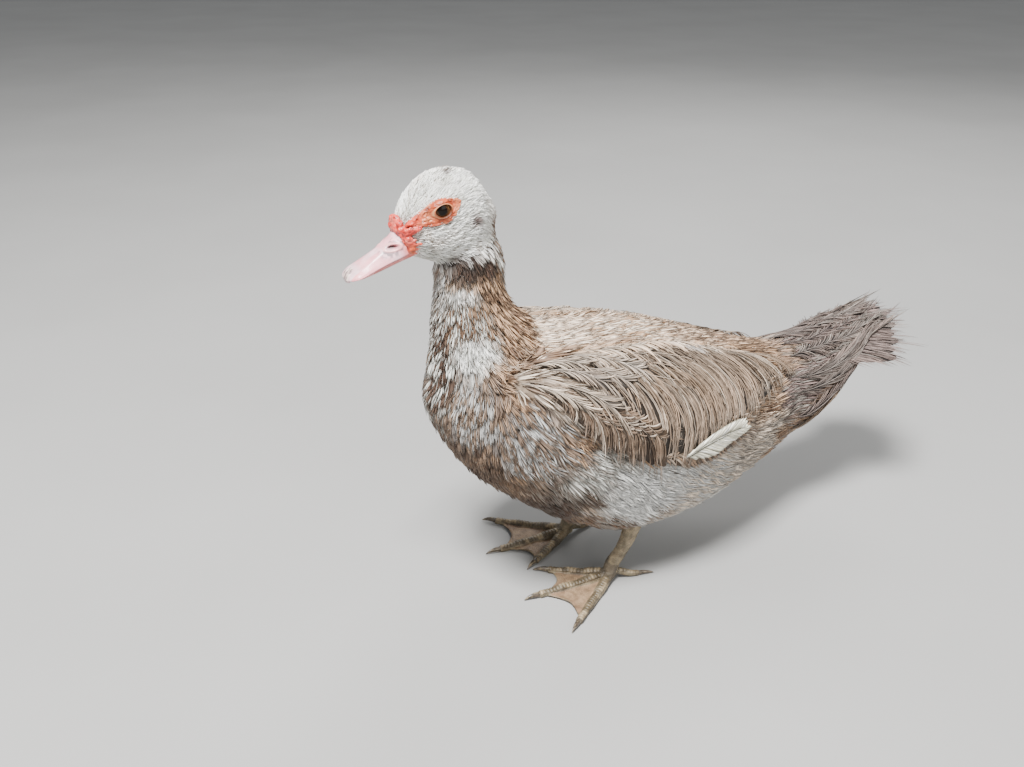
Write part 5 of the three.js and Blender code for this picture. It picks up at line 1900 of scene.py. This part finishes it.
def shank_stations(foot):
    r = LEG["radius"]

    def station(t, y, z, side, depth):
        return ((mix(foot["x"], foot["hock_x"], t), foot["y"] + y, z), side, depth, depth)

    return [
        station(0, -2, 5, r * 0.95, r * 0.95),
        station(0, 0, LEG["joint_z"] + 3, r * 0.9, r * 0.92),
        station(0.4, 6, 26, r * 0.74, r * 0.9),
        station(0.8, 12, 42, r * 0.9, r * 1.05),
        station(1, LEG["hock_y"], 60, r * 1.25, r * 1.4),
    ]


def hind_toe_core(foot):
    way = toe_way(foot, HIND_TOE["angle"])
    stations = []
    for t in (0, 0.35, 0.7, 1):
        at = middle_of(foot) + way * (2 + HIND_TOE["length"] * t)
        radius = HIND_TOE["radius"] * (1 - 0.3 * t)
        stations.append(((at[0], at[1], mix(8, radius * 0.85, min(1, t * 1.3))), radius, radius, radius))
    return tube_rings(stations, 16, 4, square_to(way))


SOLE = 0.05  # nothing of a foot goes lower


def build_leg_skin(name, foot):
    toes = list(FRONT_TOES.values())
    parts = [closed_tube(tube_rings(shank_stations(foot), 24, 4)), closed_tube(hind_toe_core(foot))]
    parts += [closed_tube(toe_core(foot, *toe)) for toe in toes]
    parts += [web_core(foot, toes[0], toes[1]), web_core(foot, toes[1], toes[2])]
    made = fused(name, parts, 0.75, 3)
    points, _ = vertices_of(made)
    points[:, 2] = np.where(points[:, 2] < SOLE, SOLE, points[:, 2])
    move_vertices(made, points)
    p, normals = vertices_of(made)
    web = (p[:, 2] < 4.2) & (np.abs(normals[:, 2]) > 0.8)
    tone = painted(
        linear("897e6b"),
        ("6f6757", ease(0.35, 0.65, noise(p, 5, 51))),
        ("3c362f", 0.75 * ease(0.55, 0.7, noise(p, 12, 52))),
        ("8f7560", 0.6 * web),
    )
    lie = np.array([0, -0.6, -1.0])
    lie = unit(lie - normals * np.sum(normals * lie, axis=1, keepdims=True))
    size = np.where(web, 1.15, 1.75)
    sizes = np.stack([size, size * 0.9, np.full(len(p), 0.34)], axis=1) * MM
    home = angle_home(p, (p[:, 0] - foot["x"], p[:, 1] - foot["y"]), (0, 60), p[:, 2])
    store(made, tint=tone, first=tone, second=tone * 1.15, share=np.full(len(p), 0.4))
    store(made, lie=lie, size=sizes, home=home)
    middles, facing = faces_of(made)
    scaly = (middles[:, 2] > 0.8) & (middles[:, 2] < 56) & (facing[:, 2] > -0.6)
    store(made, region=scaly)
    return made


def pebble(name, seed):
    """A low scale, 1 long and wide, that rises to 1 along Z."""
    rng = np.random.default_rng(seed)
    around = 7
    turn = turns(around)
    rough = 1 + rng.uniform(-0.12, 0.12, around)
    rings = []
    for reach, height in ((0.5, -0.6), (0.46, 0.55), (0.28, 1.0)):
        wide = reach * rough
        rings.append(np.stack([wide * np.cos(turn), wide * np.sin(turn), np.full(around, height)], axis=1))
    verts, faces = closed_tube(np.array(rings)[:, ::-1])
    made = loose_object(name, verts, faces)
    along = 0.5 + 0.5 * np.clip(verts[:, 2], 0, 1)
    patch = np.stack([verts[:, 0], verts[:, 1], 0 * verts[:, 0]], axis=1)
    store(made, along=along, blade=np.full(len(verts), rng.uniform()), rise=verts[:, 2], patch=patch)
    return made


def scute_bands(rings, count, first, last, arc, lift):
    """Raised plates across the top of a toe or down the front of a shank, each over the next one's root."""
    parts = []
    total = rings.shape[0]
    centre = rings.mean(axis=1)
    for i in range(count):
        a = mix(first, last, i / count)
        b = mix(first, last, (i + 0.93) / count)
        share = np.linspace(a, b, 4)
        index = share * (total - 1)
        low = np.clip(index.astype(int), 0, total - 2)
        f = (index - low)[:, None]
        angles = np.linspace(arc[0], arc[1], 9)
        around = rings.shape[1]
        slot = (angles / (2 * np.pi) * around) % around
        near = slot.astype(int) % around
        g = (slot - slot.astype(int))[None, :, None]

        def ring_points(r):
            return rings[r][:, near] * (1 - g) + rings[r][:, (near + 1) % around] * g

        surface = ring_points(low) * (1 - f[..., None]) + ring_points(low + 1) * f[..., None]
        middle = (centre[low] * (1 - f) + centre[low + 1] * f)[:, None]
        out = unit(surface - middle)
        edge = np.array([0.25, 0.9, 1.0, 0.55])[:, None, None]
        side_fall = (1 - 0.55 * np.abs(np.linspace(-1, 1, 9)) ** 3)[None, :, None]
        top = surface + out * lift * edge * side_fall
        parts.append(closed_slab(top, surface - out * 0.5))
    return parts


def build_scutes(name, foot, material):
    parts = []
    for length, angle in FRONT_TOES.values():
        rings = toe_core(foot, length, angle, 32)
        parts += scute_bands(rings, int(length / 3.3), 0.16, 0.99, (0.14 * np.pi, 0.86 * np.pi), 0.55)
    parts += scute_bands(hind_toe_core(foot), 6, 0.2, 0.98, (0.15 * np.pi, 0.85 * np.pi), 0.45)
    rings = tube_rings(shank_stations(foot), 32, 8)
    parts += scute_bands(rings, 14, 0.1, 0.9, (0.18 * np.pi, 0.82 * np.pi), 0.5)
    verts, faces = merged(parts)
    tone = painted(
        linear("988b76"),
        ("6a6255", ease(0.4, 0.6, noise(verts, 4.5, 61))),
        ("4b4131", 0.7 * ease(0.58, 0.7, noise(verts, 10, 62))),
    )
    return coloured(new_object(name, verts, faces), tone, material)


# Along a claw: how far out, as a share of its length, how high its middle is and how thick it is, as shares
# of its radius. The first row lies inside the toe, so far in millimetres.
CLAW_STATIONS = [
    (-1.5, 1.0, 1.0),
    (0, 1.0, 1.0),
    (0.3, 1.22, 0.9),
    (0.6, 1.1, 0.65),
    (0.85, 0.75, 0.35),
    (1, 0.42, 0.1),
]


def build_claws(name, foot, material):
    parts = []
    toes = [(*toe, 1.0) for toe in FRONT_TOES.values()]
    for length, angle, size in toes + [(HIND_TOE["length"] + 2, HIND_TOE["angle"], 0.8)]:
        way = toe_way(foot, angle)
        radius = CLAW["radius"] * size
        root = middle_of(foot) + way * length
        stations = []
        for out, height, share in CLAW_STATIONS:
            at = root + way * (out * CLAW["length"] if out > 0 else out)
            r = radius * share
            stations.append(((at[0], at[1], max(radius * height, r + 0.1)), r * 0.8, r, r * 0.85))
        parts.append(closed_tube(tube_rings(stations, 20, 5, square_to(way))))
    verts, faces = merged(parts)
    cast = noise(verts * np.array([1.5, 0.4, 1.5]), 1.6, 71)
    dark, worn = ease(0.4, 0.6, cast), 0.5 * ease(0.62, 0.7, cast)
    tone = painted(linear("5b5146"), ("2f2a25", dark), ("b3a58c", worn))
    return coloured(new_object(name, verts, faces), tone, material)


# Assembly

BODY_NODES = ("torso",)
NECK_NODES = ("neck_upper", "neck_lower")


def fix(piece, slot, *nodes):
    """The piece rides on the model's one body and stands for these solids. Its slot is not used."""
    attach(piece, "root")
    if nodes:
        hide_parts(*nodes)
    return piece


def grow_body(tree, skin, group):
    fine = tuft_set("fine_tuft", 8, 3, 0.95, 0.25)
    lance = tuft_set("lance_tuft", 8, 5, 1.0, 0.2)
    broad = tuft_set("broad_tuft", 10, 6, 1.05, 0.2)
    streaky = tuft_set("streaky_tuft", 10, 7, 1.1, 0.25)
    loose = tuft_set("loose_tuft", 10, 6, 1.15, 0.45)
    velvet = plumage("velvet", group, 0.24, 0.12, 0.2, 0.15)
    streaked = plumage("streaked", group, 0.8, 0.14, 0.7, 0.3)
    coat = plumage("coat", group, 0.78, 0.16, 0.6, 0.3)
    rows = [
        # region, tufts, finish, spacing, untidiness, size spread, slot, solids
        ("head", fine, velvet, 1.6, 0.22, 0.2, "head_plumage", ("head",)),
        ("neck", lance, streaked, 2.9, 0.2, 0.25, "neck_plumage", NECK_NODES),
        ("breast", streaky, streaked, 4.3, 0.2, 0.25, "body_plumage", BODY_NODES),
        ("flank_left", loose, coat, 4.7, 0.3, 0.3, "body_plumage", BODY_NODES),
        ("flank_right", loose, coat, 4.7, 0.3, 0.3, "body_plumage", BODY_NODES),
        ("belly", loose, coat, 5.8, 0.3, 0.3, "body_plumage", BODY_NODES),
        ("back", broad, coat, 4.9, 0.2, 0.3, "body_plumage", BODY_NODES),
        ("wing_left", broad, coat, 5.9, 0.2, 0.3, "wing_feathers", ("wing_left",)),
        ("wing_right", broad, coat, 5.9, 0.2, 0.3, "wing_feathers", ("wing_right",)),
        ("rump", broad, coat, 5.8, 0.2, 0.3, "tail_feathers", ("tail",)),
    ]
    for seed, (region, tufts, finish, spacing, untidy, spread, slot, nodes) in enumerate(rows):
        piece = grow_coat(
            tree, f"coat_{region}", skin, REGIONS.index(region), tufts, finish, spacing,
            untidiness=untidy, size_spread=spread, sink=0.4 * MM, seed=seed + 3,
        )
        fix(piece, slot, *nodes)


def grow_legs(tree, group):
    hide = bare_material("leg_hide", group, 700, 0.5, 0.25, (0.62, 0.58, 0.52), (1.12, 1.08, 1.0))
    plate = bare_material("scute", group, 420, 0.42, 0.12, (0.66, 0.6, 0.52), (1.15, 1.12, 1.05))
    horn = bare_material("claw_horn", group, 600, 0.3, 0.08, (0.6, 0.58, 0.55), (1.1, 1.08, 1.05))
    pebbles = bpy.data.collections.new("pebbles")
    for i in range(6):
        pebbles.objects.link(pebble(f"pebble_{i}", i))
    for name, foot in FEET.items():
        skin = build_leg_skin(f"leg_skin_{name}", foot)
        scales = grow_coat(
            tree, f"leg_scales_{name}", skin, 1, pebbles, plate, 1.5,
            untidiness=0.2, size_spread=0.2, sink=0.12 * MM, seed=2,
        )
        skin.data.materials.append(hide)
        nodes = (f"shank_{name}", f"foot_{name}", f"hind_toe_{name}")
        fix(skin, "leg_skin", *nodes)
        fix(scales, "leg_skin", *nodes)
        fix(build_scutes(f"scutes_{name}", foot, plate), "leg_skin", *nodes)
        claws = build_claws(f"claws_{name}", foot, horn)
        fix(claws, "claw", *(f"claw_{name}_{toe}" for toe in ("inner", "middle", "outer", "hind")))


def build_bird():
    tree = coat_tree()
    barbs = barb_group()
    grain = skin_group()
    skin = build_skin()
    dress_skin(skin)
    grow_body(tree, skin, barbs)
    skin.data.materials.append(down_material())
    fix(skin, "body_plumage", "neck_upper", "neck_lower", "torso", "head")
    vane = plumage("vane", barbs, 0.7, 0.2, 0.8)
    worn = plumage("worn_vane", barbs, 0.78, 0.08, 0.6)
    for side, seed, name in ((1, 3, "wing_left"), (-1, 4, "wing_right")):
        fix(build_wing(side, seed, vane), "wing_feathers", name)
    for piece in (build_tail(worn), build_tail_coverts(worn)):
        fix(piece, "tail_feathers", "tail")
    face = bare_material("face_skin", grain, 1100, 0.42, 0.3, (0.72, 0.6, 0.52), (1.15, 1.1, 1.0), 0.1)
    folds = bare_material("caruncle_skin", grain, 900, 0.38, 0.4, (0.74, 0.55, 0.52), (1.15, 1.12, 1.08), 0.3)
    horn = bare_material("bill_horn", grain, 1400, 0.34, 0.06, (0.86, 0.8, 0.8), (1.05, 1.04, 1.03), 0.25)
    wet = eye_material()
    for side, name in ((1, "left"), (-1, "right")):
        fix(build_face_skin(side, face), "face_skin", f"face_skin_{name}")
        fix(build_eye(side, wet), "eye", f"eye_{name}")
    fix(build_caruncle(folds), "caruncle_skin", "caruncle")
    fix(build_upper_bill(horn), "bill", "upper_bill")
    fix(build_lower_bill(horn), "bill", "lower_bill")
    grow_legs(tree, grain)


# Camera, floor and light


def build_camera():
    data = bpy.data.cameras.new("camera")
    data.lens = CAMERA["lens"]
    data.sensor_width = 36
    made = linked(bpy.data.objects.new("camera", data))
    made.location = place(np.array(CAMERA["at"]))
    down, turn = CAMERA["down"] * DEGREE, CAMERA["azimuth"] * DEGREE
    look = Vector((-math.sin(turn) * math.cos(down), math.cos(turn) * math.cos(down), -math.sin(down)))
    made.rotation_mode = "QUATERNION"
    made.rotation_quaternion = look.to_track_quat("-Z", "Y")
    bpy.context.scene.camera = made


def build_floor():
    reach = 40
    corners = [(-reach, -reach, 0), (reach, -reach, 0), (reach, reach, 0), (-reach, reach, 0)]
    mesh = bpy.data.meshes.new("floor")
    mesh.from_pydata(corners, [], [(0, 1, 2, 3)])
    finish, tree, surface = new_material("floor")
    mottle = span(tree, noise_node(tree, 3, 4), 0.3, 0.7, 0, 1)
    colour = blend_colours(tree, mottle, (0.31, 0.305, 0.295), (0.335, 0.33, 0.32))
    feed(tree, surface, {"Base Color": colour, "Roughness": 0.9})
    mesh.materials.append(finish)
    linked(bpy.data.objects.new("floor", mesh))


def build_light():
    world = bpy.data.worlds.new("studio")
    bpy.context.scene.world = world
    world.use_nodes = True
    sky = world.node_tree.nodes["Background"]
    feed(world.node_tree, sky, {"Color": (0.94, 0.97, 1.0, 1), "Strength": 0.44})
    for name, at, size, power in (
        ("key", (0.6, -0.9, 2.1), 0.55, 185),
        ("fill", (1.9, 0.4, 1.2), 1.6, 22),
        ("back", (-1.2, 1.2, 1.7), 1.2, 34),
    ):
        data = bpy.data.lights.new(name, "AREA")
        data.size = size
        data.energy = power
        made = linked(bpy.data.objects.new(name, data))
        made.location = at
        made.rotation_euler = (Vector((0, 0, 0.2)) - Vector(at)).to_track_quat("-Z", "Y").to_euler()


build_bird()
build_camera()
build_floor()
build_light()
